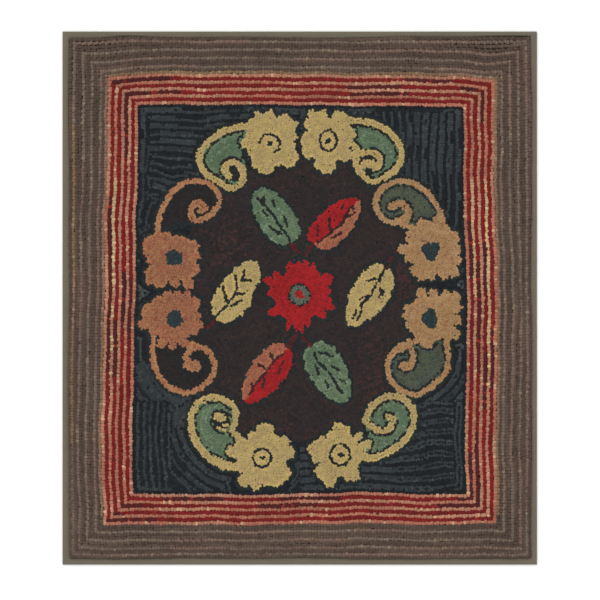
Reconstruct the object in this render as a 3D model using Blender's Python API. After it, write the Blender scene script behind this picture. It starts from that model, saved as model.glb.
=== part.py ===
"""A small hooked rug lying flat: a cloth hooked full of wool loops, bound all round with a folded tape.

Metres, +Z up. The origin is the middle of the underside, +Y is the rug's far end and +X its right side.
The pile is one solid with the cloth that it is hooked through. Its rows run round the rug as ribs, and its
rim strays a little, as hand hooking does. The tape is one length, folded over the bare margin of the cloth,
with its two ends lapped on the left side.
"""

import math

import bmesh
import bpy

# Outline of the whole rug, over the folded edge of the tape.
RUG_WIDTH = 0.760
RUG_LENGTH = 0.854

# Tape and cloth, with the small clearance that each keeps from the other.
TAPE_THICK = 0.0009
CLOTH_THICK = 0.0012
CLEARANCE = 0.0003
TAPE_BACK = 0.0125
EDGE_HEIGHT = 2 * (TAPE_THICK + CLEARANCE) + CLOTH_THICK
MARGIN_LOW = TAPE_THICK + CLEARANCE
MARGIN_HIGH = MARGIN_LOW + CLOTH_THICK

# The rounding of the tape's fold: how far it reaches in, and the corner halfway round it.
FOLD_REACH = 0.0013
FOLD_CORNER_IN = 0.0003
FOLD_CORNER_UP = 0.0007

# Rows of loops from the rim inwards, counted from the outer edge of the tape.
RIM_AT = 0.0112
OUTER_ROWS = 10
OUTER_PITCH = 0.00585
BAND_ROWS = 9
BAND_PITCH = 0.0055
PILE_TOP = 0.0086
GROOVE_DEPTH = 0.0016
SHOULDER_DIP = 0.0002
RIM_WALL_TOP = 0.0058
SHOULDERS = (0.28, 0.72)
FIELD_TOP = PILE_TOP - 0.0004

# The lap of the tape's ends on the left side: its free end, its length and the ramp behind it.
LAP_END_Y = -0.3005
LAP_LENGTH = 0.018
LAP_STEP = 0.0006
LAP_RAMP = 0.010

STEPS_A_SIDE = 14
FADE_FROM = 0.0015

# How far each side's rows stray inwards: a steady shift, then waves of (height, length, phase).
STRAY = {
    "left": {"shift": 0.0002, "waves": ((0.0009, 0.47, 0.4), (0.0006, 0.21, 2.1))},
    "right": {"shift": -0.0006, "waves": ((0.0010, 0.39, 1.3), (0.0006, 0.19, 0.2))},
    "near": {"shift": 0.0004, "waves": ((0.0009, 0.52, 2.6), (0.0006, 0.20, 1.1))},
    "far": {"shift": -0.0012, "waves": ((0.0013, 0.66, 1.6), (0.0006, 0.23, 0.7))},
}

# Rise and fall of the pile's surface: the height of each wave, then (turns along x, turns along y, phase).
UNEVEN_HEIGHT = 0.00025
UNEVEN_WAVES = ((41, 17, 0.0), (-23, 29, 1.0))

# Finish of each piece: colour, roughness, and the angle in degrees past which an edge stays sharp.
WOOL_COLOUR = (0.16, 0.12, 0.11)
WOOL_ROUGHNESS = 0.95
WOOL_SHARP = 50
TAPE_COLOUR = (0.19, 0.17, 0.125)
TAPE_ROUGHNESS = 0.9
TAPE_SHARP = 40


def clear_scene():
    """Removes whatever the scene holds at the start."""
    for thing in list(bpy.data.objects):
        bpy.data.objects.remove(thing)


def stray(side, along):
    """How far a row on this side lies inwards of its ruled line, at a place along the side."""
    table = STRAY[side]
    total = table["shift"]
    for height, length, phase in table["waves"]:
        total += height * math.sin(2 * math.pi * along / length + phase)
    return total


def ring_point(depth, x_share, y_share, strays=True):
    """A point of the ring that lies depth inside the outer edge, at shares from -1 to 1 of its half sizes."""
    half_x = RUG_WIDTH / 2 - depth
    half_y = RUG_LENGTH / 2 - depth
    x, y = x_share * half_x, y_share * half_y
    if strays:
        fade = min(1.0, max(0.0, (depth - FADE_FROM) / (RIM_AT - FADE_FROM)))
        on_x = stray("right" if x_share > 0 else "left", y) * fade
        on_y = stray("far" if y_share > 0 else "near", x) * fade
        x -= on_x * x_share
        y -= on_y * y_share
    return x, y


def ring_shares(steps_a_side, extra_left=()):
    """Shares of the half sizes round a ring, anticlockwise from the near left corner."""
    steps = [-1 + 2 * i / steps_a_side for i in range(steps_a_side)]
    left = sorted([-s for s in steps] + list(extra_left), reverse=True)
    shares = [(s, -1.0) for s in steps]
    shares += [(1.0, s) for s in steps]
    shares += [(-s, 1.0) for s in steps]
    shares += [(-1.0, s) for s in left]
    return shares


def unevenness(x, y):
    """Small rise and fall of the pile's surface."""
    return UNEVEN_HEIGHT * sum(math.sin(on_x * x + on_y * y + phase) for on_x, on_y, phase in UNEVEN_WAVES)


def row_profile():
    """(depth, height) of each ring over the pile, from the rim's foot to the inner edge of the striped band."""
    profile = [(RIM_AT, MARGIN_HIGH), (RIM_AT, RIM_WALL_TOP)]
    at = RIM_AT
    pitches = [OUTER_PITCH] * OUTER_ROWS + [BAND_PITCH] * BAND_ROWS
    for number, pitch in enumerate(pitches):
        if number:
            profile.append((at, PILE_TOP - GROOVE_DEPTH))
        for share in SHOULDERS:
            profile.append((at + share * pitch, PILE_TOP - SHOULDER_DIP))
        at += pitch
    profile.append((at, PILE_TOP - GROOVE_DEPTH))
    return profile


def add_ring(bm, depth, height, shares, rough=False, strays=True):
    """The corners of one closed ring at a depth and height."""
    ring = []
    for x_share, y_share in shares:
        x, y = ring_point(depth, x_share, y_share, strays)
        z = height + (unevenness(x, y) if rough else 0.0)
        ring.append(bm.verts.new((x, y, z)))
    return ring


def join_rings(bm, first, second):
    """Faces between two rings of as many points."""
    count = len(first)
    for i in range(count):
        j = (i + 1) % count
        bm.faces.new((first[i], first[j], second[j], second[i]))


def fill_field(bm, ring, steps):
    """The field inside the innermost ring, as a grid whose rim is that ring."""
    low = [ring[i] for i in range(steps + 1)]
    right = [ring[steps + i] for i in range(steps + 1)]
    high = [ring[3 * steps - i] for i in range(steps + 1)]
    left = [ring[(4 * steps - i) % (4 * steps)] for i in range(steps + 1)]
    grid = []
    for j in range(steps + 1):
        if j in (0, steps):
            grid.append(low if j == 0 else high)
            continue
        row = [left[j]]
        for i in range(1, steps):
            across = low[i].co.lerp(high[i].co, j / steps)
            x, y = across.x, left[j].co.lerp(right[j].co, i / steps).y
            row.append(bm.verts.new((x, y, FIELD_TOP + unevenness(x, y))))
        row.append(right[j])
        grid.append(row)
    for j in range(steps):
        for i in range(steps):
            bm.faces.new((grid[j][i], grid[j][i + 1], grid[j + 1][i + 1], grid[j + 1][i]))


def plain_material(name, colour, roughness):
    """A matt cloth material of one colour."""
    material = bpy.data.materials.new(name)
    material.use_nodes = True
    shader = material.node_tree.nodes["Principled BSDF"]
    shader.inputs["Base Color"].default_value = (*colour, 1.0)
    shader.inputs["Roughness"].default_value = roughness
    shader.inputs["Metallic"].default_value = 0.0
    return material


def finish(bm, name, material, sharp_degrees):
    """Turns the mesh into a named object with its material, shaded smooth but for its sharp edges."""
    bmesh.ops.recalc_face_normals(bm, faces=bm.faces)
    bmesh.ops.triangulate(bm, faces=bm.faces)
    mesh = bpy.data.meshes.new(name)
    bm.to_mesh(mesh)
    bm.free()
    mesh.materials.append(material)
    mesh.shade_smooth()
    mesh.set_sharp_from_angle(angle=math.radians(sharp_degrees))
    thing = bpy.data.objects.new(name, mesh)
    bpy.context.scene.collection.objects.link(thing)
    return thing


def make_hooked_rug():
    """The cloth and its pile of loops: a slab with ribbed border rows, a plain field and a bare margin."""
    bm = bmesh.new()
    shares = ring_shares(STEPS_A_SIDE)
    cloth_edge = TAPE_THICK + CLEARANCE
    recess = TAPE_BACK + CLEARANCE
    rings = [
        add_ring(bm, recess, 0.0, shares, strays=False),
        add_ring(bm, recess, MARGIN_LOW, shares, strays=False),
        add_ring(bm, cloth_edge, MARGIN_LOW, shares, strays=False),
        add_ring(bm, cloth_edge, MARGIN_HIGH, shares, strays=False),
    ]
    for depth, height in row_profile():
        rings.append(add_ring(bm, depth, height, shares, rough=height > RIM_WALL_TOP))
    for first, second in zip(rings, rings[1:]):
        join_rings(bm, first, second)
    bm.faces.new(rings[0])
    fill_field(bm, rings[-1], STEPS_A_SIDE)
    wool = plain_material("wool_pile", WOOL_COLOUR, WOOL_ROUGHNESS)
    return finish(bm, "hooked_rug", wool, WOOL_SHARP)


def lap_lift(x_share, y):
    """From 0 to 1, how far the lapped end of the tape stands over the layer below it."""
    if x_share > -1.0:
        return 0.0
    if y < LAP_END_Y or y > LAP_END_Y + LAP_LENGTH + LAP_RAMP:
        return 0.0
    rise = (y - LAP_END_Y) / LAP_STEP
    fall = (LAP_END_Y + LAP_LENGTH + LAP_RAMP - y) / LAP_RAMP
    return min(1.0, rise, fall)


def tape_section(front):
    """(depth, height, how much the lap raises it) round the folded tape, for a front leg of this width."""
    inner_high = EDGE_HEIGHT - TAPE_THICK
    return (
        (TAPE_BACK, 0.0, 0.0),
        (FOLD_REACH, 0.0, 0.0),
        (FOLD_CORNER_IN, FOLD_CORNER_UP, 0.0),
        (0.0, EDGE_HEIGHT / 2, 0.0),
        (FOLD_CORNER_IN, EDGE_HEIGHT - FOLD_CORNER_UP, TAPE_THICK / 2),
        (FOLD_REACH, EDGE_HEIGHT, TAPE_THICK),
        (front, EDGE_HEIGHT, TAPE_THICK),
        (front, inner_high, 0.0),
        (TAPE_THICK, inner_high, 0.0),
        (TAPE_THICK, TAPE_THICK, 0.0),
        (TAPE_BACK, TAPE_THICK, 0.0),
    )


def make_binding_tape():
    """The tape: its folded section carried round the rug, with the lapped ends on the left side."""
    bm = bmesh.new()
    half_y = RUG_LENGTH / 2
    lap_places = (
        LAP_END_Y - LAP_STEP / 2,
        LAP_END_Y + LAP_STEP,
        LAP_END_Y + LAP_LENGTH,
        LAP_END_Y + LAP_LENGTH + LAP_RAMP,
    )
    shares = ring_shares(STEPS_A_SIDE, [y / half_y for y in lap_places])
    front = RIM_AT - CLEARANCE
    rings = []
    for depth, height, raised in tape_section(front):
        ring = add_ring(bm, depth, height, shares, strays=False)
        for (x_share, y_share), vert in zip(shares, ring):
            if depth == front:
                x, y = ring_point(RIM_AT, x_share, y_share)
                vert.co.x = x + CLEARANCE * x_share
                vert.co.y = y + CLEARANCE * y_share
            vert.co.z += raised * lap_lift(x_share, y_share * half_y)
        rings.append(ring)
    for first, second in zip(rings, rings[1:] + rings[:1]):
        join_rings(bm, first, second)
    tape = plain_material("tape", TAPE_COLOUR, TAPE_ROUGHNESS)
    return finish(bm, "binding_tape", tape, TAPE_SHARP)


clear_scene()
make_hooked_rug()
make_binding_tape()
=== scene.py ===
"""Looks of a small hooked rug that lies flat: its pile of wool loops, its cloth, its tape and a plain studio.

The pattern of the field is drawn by formulas on a fine chart. Rows of hooking are led over the chart, along
the outlines of each motif and in ruled lines over the ground, and each loop of a row is a small pillow of
wool. Sizes of the design are in millimetres from the rug's middle, and meshes are in metres.
"""

import logging
import math
from dataclasses import dataclass, field
from enum import Enum

import bpy
import numpy as np
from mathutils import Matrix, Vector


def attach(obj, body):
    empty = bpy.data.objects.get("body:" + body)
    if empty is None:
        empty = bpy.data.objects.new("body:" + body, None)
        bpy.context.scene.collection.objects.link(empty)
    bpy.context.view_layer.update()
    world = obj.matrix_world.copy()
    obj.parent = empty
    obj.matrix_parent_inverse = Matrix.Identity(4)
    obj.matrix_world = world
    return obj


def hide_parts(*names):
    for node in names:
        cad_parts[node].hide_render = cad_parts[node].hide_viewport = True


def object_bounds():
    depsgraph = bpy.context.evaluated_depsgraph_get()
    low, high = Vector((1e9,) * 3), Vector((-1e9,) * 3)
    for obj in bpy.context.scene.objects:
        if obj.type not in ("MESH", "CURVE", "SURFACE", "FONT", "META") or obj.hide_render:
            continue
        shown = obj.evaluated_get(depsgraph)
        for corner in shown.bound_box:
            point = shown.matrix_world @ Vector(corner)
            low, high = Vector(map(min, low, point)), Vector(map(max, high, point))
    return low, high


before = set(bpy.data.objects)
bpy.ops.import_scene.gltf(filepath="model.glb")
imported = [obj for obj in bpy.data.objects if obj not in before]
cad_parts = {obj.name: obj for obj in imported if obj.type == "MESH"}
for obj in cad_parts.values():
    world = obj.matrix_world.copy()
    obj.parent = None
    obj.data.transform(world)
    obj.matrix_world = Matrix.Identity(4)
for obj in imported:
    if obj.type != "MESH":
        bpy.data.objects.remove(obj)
CAD_LOW, CAD_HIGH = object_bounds()

Array = np.ndarray
Point = tuple[float, float]

log = logging.getLogger("hooked_rug")

MM = 0.001
HALF_X = (CAD_HIGH.x - CAD_LOW.x) / 2 / MM
HALF_Y = (CAD_HIGH.y - CAD_LOW.y) / 2 / MM
SEED = 1931

# Tape and cloth, as the solids have them, in millimetres.
TAPE_THICK = 0.9
CLOTH_THICK = 1.2
CLEARANCE = 0.3
TAPE_BACK = 12.5
EDGE_HEIGHT = 2 * (TAPE_THICK + CLEARANCE) + CLOTH_THICK
MARGIN_LOW = TAPE_THICK + CLEARANCE
RIM_AT = 11.2
FADE_FROM = 1.5
OUTER_ROWS = 13
OUTER_PITCH = 4.5
BAND_ROWS = 9
BAND_PITCH = 5.5
FIELD_AT = RIM_AT + OUTER_ROWS * OUTER_PITCH + BAND_ROWS * BAND_PITCH
LAP_END_Y = -300.5
LAP_LENGTH = 18.0
LAP_STEP = 0.6
LAP_RAMP = 10.0

# Heights of the pile above the surface, in millimetres.
LOOP_FOOT = 1.3
LOOP_TOP = 8.3
EDGE_SWAY = 0.95
UNEVEN_HEIGHT = 0.25
UNEVEN_WAVES = ((0.041, 0.017, 0.0), (-0.023, 0.029, 1.0))


@dataclass(frozen=True)
class Stray:
    """How far one side's rows stray inwards of a ruled line: a steady shift, slow waves and dips.

    STRAY is that of the rim, with the solids' shift and waves, and ROWS that of the rows inside it. A wave
    is its height, length and phase; a dip is a bell curve of its height, place and width.
    """

    shift: float
    waves: tuple[tuple[float, float, float], ...]
    dips: tuple[tuple[float, float, float], ...] = ()

    def at(self, along: Array) -> Array:
        """Sum of the shift, of each wave's height times the sine of its turn at a place, and of the dips."""
        waves = [height * np.sin(2 * np.pi * along / length + phase) for height, length, phase in self.waves]
        dips = [height * np.exp(-(((along - place) / width) ** 2)) for height, place, width in self.dips]
        return self.shift + sum(waves) + sum(dips)


STRAY_LEFT = Stray(0.2, ((0.9, 470.0, 0.4), (0.6, 210.0, 2.1)))
STRAY_RIGHT = Stray(-0.6, ((1.0, 390.0, 1.3), (0.6, 190.0, 0.2)))
STRAY_NEAR = Stray(0.4, ((0.9, 520.0, 2.6), (0.6, 200.0, 1.1)))
STRAY_FAR = Stray(-1.2, ((1.3, 660.0, 1.6), (0.6, 230.0, 0.7)), ((3.6, -345.0, 42.0),))
ROWS_LEFT = Stray(
    -2.1, ((4.0, 1300.0, 0.0), (0.8, 185.0, 0.6), (0.5, 83.0, 1.0)),
    ((2.0, 320.0, 55.0), (-1.2, 110.0, 50.0), (-1.9, -180.0, 55.0), (1.3, -340.0, 40.0)),
)
ROWS_RIGHT = Stray(
    -3.6, ((2.0, 1200.0, 0.2), (0.8, 210.0, 2.2), (0.5, 90.0, 0.0)),
    ((-4.4, -8.0, 80.0), (1.2, 300.0, 40.0), (1.0, -230.0, 50.0), (1.2, -345.0, 42.0)),
)
ROWS_NEAR = Stray(
    -5.4, ((1.3, 420.0, 0.3), (0.6, 130.0, 1.5), (0.4, 71.0, 0.4)),
    ((-2.4, -290.0, 35.0), (1.2, -160.0, 40.0), (1.8, 96.0, 30.0), (2.6, 300.0, 40.0)),
)
ROWS_FAR = Stray(
    -0.4, ((2.1, 1150.0, 0.0), (0.7, 170.0, 0.9), (0.4, 76.0, 2.0)),
    ((7.2, -340.0, 80.0), (-1.2, 28.0, 35.0), (1.4, 96.0, 22.0), (-1.8, 165.0, 36.0), (5.6, 300.0, 38.0)),
)
ROWS_FROM = 34.0


@dataclass(frozen=True)
class Wool:
    """One dyed wool, as strips cut for hooking.

    A strip takes the second shade at random with the given share. Strips and single loops stray in
    lightness, and a few loops take a fleck of another colour.
    """

    colour: str
    second: str = ""
    share: float = 0.0
    strips: float = 0.07
    loops: float = 0.07
    fleck: str = ""
    flecks: float = 0.0


class Dye(Enum):
    """Every wool in the rug."""

    TAUPE_DARK = Wool("#56463C", "#5E4D42", 0.35, 0.05, 0.07)
    TAUPE_LIGHT = Wool("#746458", "#796256", 0.35, 0.05, 0.07, "#84735F", 0.08)
    BEIGE = Wool("#82684F", "#8A6C58", 0.4, 0.05, 0.07, "#957B62", 0.10)
    SALMON = Wool("#B06F59", "#B57D64", 0.4, 0.06, 0.08, "#C79A7A", 0.07)
    SALMON_CREAM = Wool("#C09A74", "#B27C63", 0.4, 0.06, 0.08, "#CDB283", 0.25)
    RED = Wool("#781816", "#501A19", 0.16, 0.07, 0.08, "#87241F", 0.04)
    RED_BRIGHT = Wool("#A81C20", "#9A191C", 0.35, 0.04, 0.05)
    NAVY = Wool("#14181D", "#181D22", 0.4, 0.08, 0.10, "#1F2529", 0.08)
    SLATE = Wool("#353B3D", "#303639", 0.3, 0.06, 0.08, "#3E4546", 0.10)
    TEAL = Wool("#222929", "#1F2526", 0.4, 0.06, 0.08, "#2B3434", 0.06)
    TEAL_GREY = Wool("#434A48", "#3C4442", 0.4, 0.05, 0.08, "#4C5350", 0.08)
    OUTLINE = Wool("#222423", "#1E2426", 0.3, 0.07, 0.10)
    VEIN = Wool("#43201F", "#33262A", 0.4, 0.07, 0.10)
    BROWN = Wool("#2F2625", "#2A2425", 0.4, 0.05, 0.07, "#372827", 0.12)
    BROWN_FILL = Wool("#272120", "#2B2322", 0.4, 0.05, 0.08, "#212627", 0.12)
    RUSSET = Wool("#452B29", "#3A2929", 0.4, 0.05, 0.07)
    MAROON = Wool("#521E20", "#3F2425", 0.3, 0.06, 0.08)
    YELLOW = Wool("#BAA267", "#B19B66", 0.4, 0.035, 0.035, "#B5966C", 0.06)
    GREEN = Wool("#5B7056", "#687A5D", 0.4, 0.05, 0.05, "#73856B", 0.08)
    GREEN_GREY = Wool("#4E5548", "#525844", 0.4, 0.04, 0.05, "#444C42", 0.15)
    FLOWER_RUST = Wool("#9C664A", "#A3704D", 0.4, 0.035, 0.045, "#9A5941", 0.10)
    FLOWER_TAN = Wool("#AA855E", "#A68055", 0.4, 0.035, 0.04, "#A27451", 0.10)
    LEAF_SALMON = Wool("#A3674B", "#9E5C46", 0.4, 0.04, 0.05)
    SCROLL_RUST = Wool("#AC7B55", "#A67250", 0.4, 0.035, 0.045, "#9A5C43", 0.06)
    EYE_GREEN = Wool("#5F685B", "#576053", 0.3, 0.04, 0.05)
    EYE_DARK = Wool("#2A383A", "#263335", 0.3, 0.06, 0.08, "#354546", 0.08)

    @property
    def number(self) -> int:
        """The wool's place in the list of all wools."""
        return DYES.index(self)


class Zone(Enum):
    """The piece of the pile that a loop belongs to."""

    OUTER_BORDER = "outer_border_loops"
    STRIPED_BAND = "striped_band_loops"
    GROUND = "ground_loops"
    MEDALLION = "medallion_loops"
    FLOWERS = "flower_loops"
    LEAVES = "leaf_loops"
    SCROLLS = "scroll_loops"

    @property
    def number(self) -> int:
        """The piece's place in the list of all pieces of the pile."""
        return ZONES.index(self)


DYES = list(Dye)
ZONES = list(Zone)


def linear_colour(code: str) -> Array:
    """Red, green and blue of a screen colour such as "#7A6A5C", as linear light from 0 to 1."""
    parts = np.array([int(code[i:i + 2], 16) for i in (1, 3, 5)]) / 255
    return np.where(parts <= 0.04045, parts / 12.92, ((parts + 0.055) / 1.055) ** 2.4)


def unevenness(x: Array, y: Array) -> Array:
    """Rise and fall of the pile, in millimetres: the sum of two slow waves over the rug."""
    waves = [np.sin(on_x * x + on_y * y + phase) for on_x, on_y, phase in UNEVEN_WAVES]
    return UNEVEN_HEIGHT * sum(waves)


def ring_point(depth: float | Array, x_share: Array, y_share: Array) -> tuple[Array, Array]:
    """Points of the ring that lies depth inside the outer edge.

    Each coordinate is its share of the half size less depth, moved inwards by what its side strays. The
    rim's stray grows from nothing near the fold of the tape to its full size at the rim of the pile, and
    passes over into that of the rows a little further in.

    Args:
        depth: distance inside the outer edge.
        x_share: share of the half width, from -1 to 1.
        y_share: share of the half length, from -1 to 1.

    Returns:
        The x and y of each point.
    """
    x = x_share * (HALF_X - depth)
    y = y_share * (HALF_Y - depth)
    fade = np.clip((depth - FADE_FROM) / (RIM_AT - FADE_FROM), 0.0, 1.0)
    inner = np.clip((depth - RIM_AT) / (ROWS_FROM - RIM_AT), 0.0, 1.0)
    rim_x = np.where(x_share > 0, STRAY_RIGHT.at(y), STRAY_LEFT.at(y))
    rim_y = np.where(y_share > 0, STRAY_FAR.at(x), STRAY_NEAR.at(x))
    rows_x = np.where(x_share > 0, ROWS_RIGHT.at(y), ROWS_LEFT.at(y))
    rows_y = np.where(y_share > 0, ROWS_FAR.at(x), ROWS_NEAR.at(x))
    on_x = rim_x * fade * (1 - inner) + rows_x * inner
    on_y = rim_y * fade * (1 - inner) + rows_y * inner
    return x - on_x * x_share, y - on_y * y_share


def ring_shares(x_steps: int, y_steps: int, extra_left: tuple[float, ...] = ()) -> tuple[Array, Array]:
    """Shares of the half sizes round a ring, anticlockwise from the near left corner.

    Args:
        x_steps: steps along the near side, and along the far side.
        y_steps: steps along the right side, and along the left side.
        extra_left: shares of more points on the left side.

    Returns:
        The x share and the y share of each point.
    """
    on_x = -1 + 2 * np.arange(x_steps) / x_steps
    on_y = -1 + 2 * np.arange(y_steps) / y_steps
    left = np.sort(np.concatenate([-on_y, np.array(extra_left, float)]))[::-1]
    x_share = np.concatenate([on_x, np.ones(y_steps), -on_x, -np.ones(len(left))])
    y_share = np.concatenate([-np.ones(x_steps), on_y, np.ones(x_steps), left])
    return x_share, y_share


def smooth_curve(points: tuple[Point, ...], step: float) -> Array:
    """A smooth curve through given points, with a point every step.

    Between two points each coordinate is the cubic of Catmull and Rom, with the ends carried on straight,
    and the fine points are then spaced evenly by arc length.

    Args:
        points: places on the curve.
        step: distance between two points of the result.

    Returns:
        The points of the curve, one row each.
    """
    p = np.array(points, float)
    p = np.vstack([2 * p[0] - p[1], p, 2 * p[-1] - p[-2]])
    t = np.linspace(0, 1, 24, endpoint=False)[None, :, None]
    a, b, c, d = (p[i:len(p) - 3 + i, None, :] for i in range(4))
    cubic = 2 * b + (c - a) * t + (2 * a - 5 * b + 4 * c - d) * t ** 2 + (3 * b - a - 3 * c + d) * t ** 3
    fine = np.vstack([cubic.reshape(-1, 2) / 2, p[-2]])
    return even_points(fine, step)


def even_points(fine: Array, step: float) -> Array:
    """The same line with its points spaced evenly, about a step apart."""
    place = np.concatenate([[0.0], np.cumsum(np.hypot(*np.diff(fine, axis=0).T))])
    count = max(2, round(place[-1] / step) + 1)
    wanted = np.linspace(0, place[-1], count)
    return np.column_stack([np.interp(wanted, place, fine[:, k]) for k in (0, 1)])


def headings(curve: Array) -> Array:
    """Direction of the line at each of its points, in radians."""
    step = np.gradient(curve, axis=0)
    return np.arctan2(step[:, 1], step[:, 0])


def circle(centre: Point, across: float, up: float, start: float, sweep: float) -> Array:
    """Points of an ellipse's arc: its centre plus the half sizes times the cosine and sine of each angle."""
    turn = np.radians(start + sweep * np.linspace(0, 1, 73))
    return np.column_stack([centre[0] + across * np.cos(turn), centre[1] + up * np.sin(turn)])


def distance_from(seed: Array, reach: int) -> Array:
    """Distance of each cell from the nearest seed cell, in cells, up to reach.

    Each column first gives how far the nearest seed above or below is. Each row then takes the least sum
    of that distance squared and the squared steps to a neighbour, over all neighbours within reach.

    Args:
        seed: the cells to measure from.
        reach: the longest distance that is told apart.

    Returns:
        The distances, as many as there are cells.
    """
    rows = np.arange(seed.shape[0], dtype=np.float32)[:, None]
    far = np.float32(4 * max(seed.shape))
    below = np.maximum.accumulate(np.where(seed, rows, -far), axis=0)
    above = np.minimum.accumulate(np.where(seed, rows, far)[::-1], axis=0)[::-1]
    near = np.minimum(rows - below, above - rows) ** 2
    best = near.copy()
    for k in range(1, reach + 1):
        np.minimum(best[:, k:], near[:, :-k] + k * k, out=best[:, k:])
        np.minimum(best[:, :-k], near[:, k:] + k * k, out=best[:, :-k])
    return np.sqrt(np.minimum(best, np.float32(reach * reach)))


def softened(values: Array, times: int) -> Array:
    """The grid with each value averaged with its neighbours along both directions, a few times."""
    for _ in range(times):
        padded = np.pad(values, 1, mode="edge")
        values = (padded[:-2, 1:-1] + padded[2:, 1:-1] + 2 * values) / 4
        padded = np.pad(values, 1, mode="edge")
        values = (padded[1:-1, :-2] + padded[1:-1, 2:] + 2 * values) / 4
    return values


@dataclass
class Loops:
    """Loops of wool before they are made, as arrays with one entry for each loop, in millimetres."""

    place: Array
    heading: Array
    dye: Array
    zone: Array
    strip: Array
    rank: Array
    light: Array
    across: Array
    along: Array
    sway: Array

    @classmethod
    def of(cls, place: Array, heading: Array, whole: tuple[Array | int, ...],
           parts: tuple[Array | float, ...]) -> "Loops":
        """Loops whose single values are spread over all of them.

        Args:
            place: where they stand.
            heading: the way of their rows, in radians.
            whole: dye, zone and strip numbers.
            parts: rank, lightness, half size across and along the row, and sway across it.

        Returns:
            The loops.
        """
        count = len(place)
        numbers = [np.broadcast_to(np.asarray(value), count).copy() for value in whole]
        values = [np.broadcast_to(np.asarray(value, float), count).copy() for value in parts]
        return cls(place, heading, *numbers, *values)

    @classmethod
    def joined(cls, groups: list["Loops"]) -> "Loops":
        """All loops of several groups, with the strips of each group kept apart."""
        base = 0
        for group in groups:
            group.strip = group.strip + base
            base = int(group.strip.max()) + 1 if len(group.strip) else base
        return cls(*(np.concatenate([vars(g)[name] for g in groups]) for name in cls.__dataclass_fields__))

    def taken(self, mask: Array) -> "Loops":
        """Only the loops that the mask keeps."""
        return Loops(*(vars(self)[name][mask] for name in self.__dataclass_fields__))


def close_pairs(place: Array, reach: float) -> tuple[Array, Array]:
    """Every pair of points that lie closer than reach.

    The points are sorted into square bins of that size, and each is set against those of its own bin and of
    four neighbouring bins, so that no pair comes twice.

    Args:
        place: the points, one row each.
        reach: the distance below which two points are a pair.

    Returns:
        The first and the second point of each pair.
    """
    if len(place) == 0:
        return np.zeros(0, np.int64), np.zeros(0, np.int64)
    bins = np.floor((place - place.min(0)) / reach).astype(np.int64) + 1
    width = int(bins[:, 0].max()) + 2
    key = bins[:, 1] * width + bins[:, 0]
    order = np.argsort(key, kind="stable")
    ordered = key[order]
    firsts, seconds = [], []
    for shift in (0, 1, width - 1, width, width + 1):
        start = np.searchsorted(ordered, key + shift, side="left")
        stop = np.searchsorted(ordered, key + shift, side="right")
        count = stop - start
        first = np.repeat(np.arange(len(key)), count)
        within = np.arange(count.sum()) - np.repeat(np.cumsum(count) - count, count)
        second = order[np.repeat(start, count) + within]
        keep = np.hypot(*(place[first] - place[second]).T) < reach
        if shift == 0:
            keep &= first < second
        firsts.append(first[keep])
        seconds.append(second[keep])
    return np.concatenate(firsts), np.concatenate(seconds)


def thinned(place: Array, rank: Array, reach: float) -> Array:
    """Which points stay when, of two that are too close, the one of lower rank number stays.

    In rounds, a point that still stands and has no standing neighbour before it is kept, and what is too
    close to a kept one falls.

    Args:
        place: the points, one row each.
        rank: the order in which they claim their places.
        reach: the least distance between two that stay.

    Returns:
        A mask of those that stay.
    """
    first, second = close_pairs(place, reach)
    order = np.empty(len(rank), np.int64)
    order[np.argsort(rank, kind="stable")] = np.arange(len(rank))
    sooner = np.where(order[first] < order[second], first, second)
    later = np.where(order[first] < order[second], second, first)
    standing = np.ones(len(rank), bool)
    kept = np.zeros(len(rank), bool)
    while standing.any():
        blocked = np.zeros(len(rank), bool)
        live = standing[sooner] & standing[later]
        blocked[later[live]] = True
        fresh = standing & ~blocked
        kept |= fresh
        standing &= ~fresh
        standing[later[kept[sooner]]] = False
    return kept


def spread_out(place: Array, ease: Array, reach: float, rounds: int) -> Array:
    """Points pushed away from neighbours that are closer than reach, a quarter of what is missing each round.

    Args:
        place: the points, one row each.
        ease: from 0 to 1, how freely each point moves.
        reach: the distance that neighbours seek.
        rounds: how often they are pushed.

    Returns:
        The new places.
    """
    for _ in range(rounds):
        first, second = close_pairs(place, reach)
        between = place[second] - place[first]
        far = np.maximum(np.hypot(*between.T), 0.1)
        push = between * (0.25 * (reach - far) / far)[:, None]
        move = np.zeros_like(place)
        np.add.at(move, first, -push)
        np.add.at(move, second, push)
        place = place + move * ease[:, None]
    return place


def ranked_chains(following: Array, length: Array) -> tuple[Array, Array, Array]:
    """Places of short segments along the lines that they make up.

    Each segment points to the one that follows it. The pointers are doubled again and again, and the lengths
    passed over are summed, so that each segment learns how far it is from its line's end. A closed line is
    first cut before its lowest segment.

    Args:
        following: the segment after each one, or -1 at a line's end.
        length: the length of each segment.

    Returns:
        For each segment its line's last segment, its start's distance from the end, and its line's length.
    """
    count = len(following)
    rounds = max(1, math.ceil(math.log2(count + 1)))
    after = np.append(np.where(following < 0, count, following), count)
    lowest, jump = np.arange(count + 1), after.copy()
    for _ in range(rounds):
        lowest = np.minimum(lowest, lowest[jump])
        jump = jump[jump]
    cut = (jump[:count] != count) & (after[:count] == lowest[:count])
    after[:count][cut] = count
    own = np.arange(count + 1)
    end = np.where(after == count, own, after)
    total, jump = np.append(length, 0.0), after.copy()
    for _ in range(rounds):
        total = total + total[jump]
        jump = jump[jump]
        end = end[end]
    whole = np.zeros(count + 1)
    np.maximum.at(whole, end, total)
    return end[:count], total[:count], whole[end[:count]]


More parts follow.
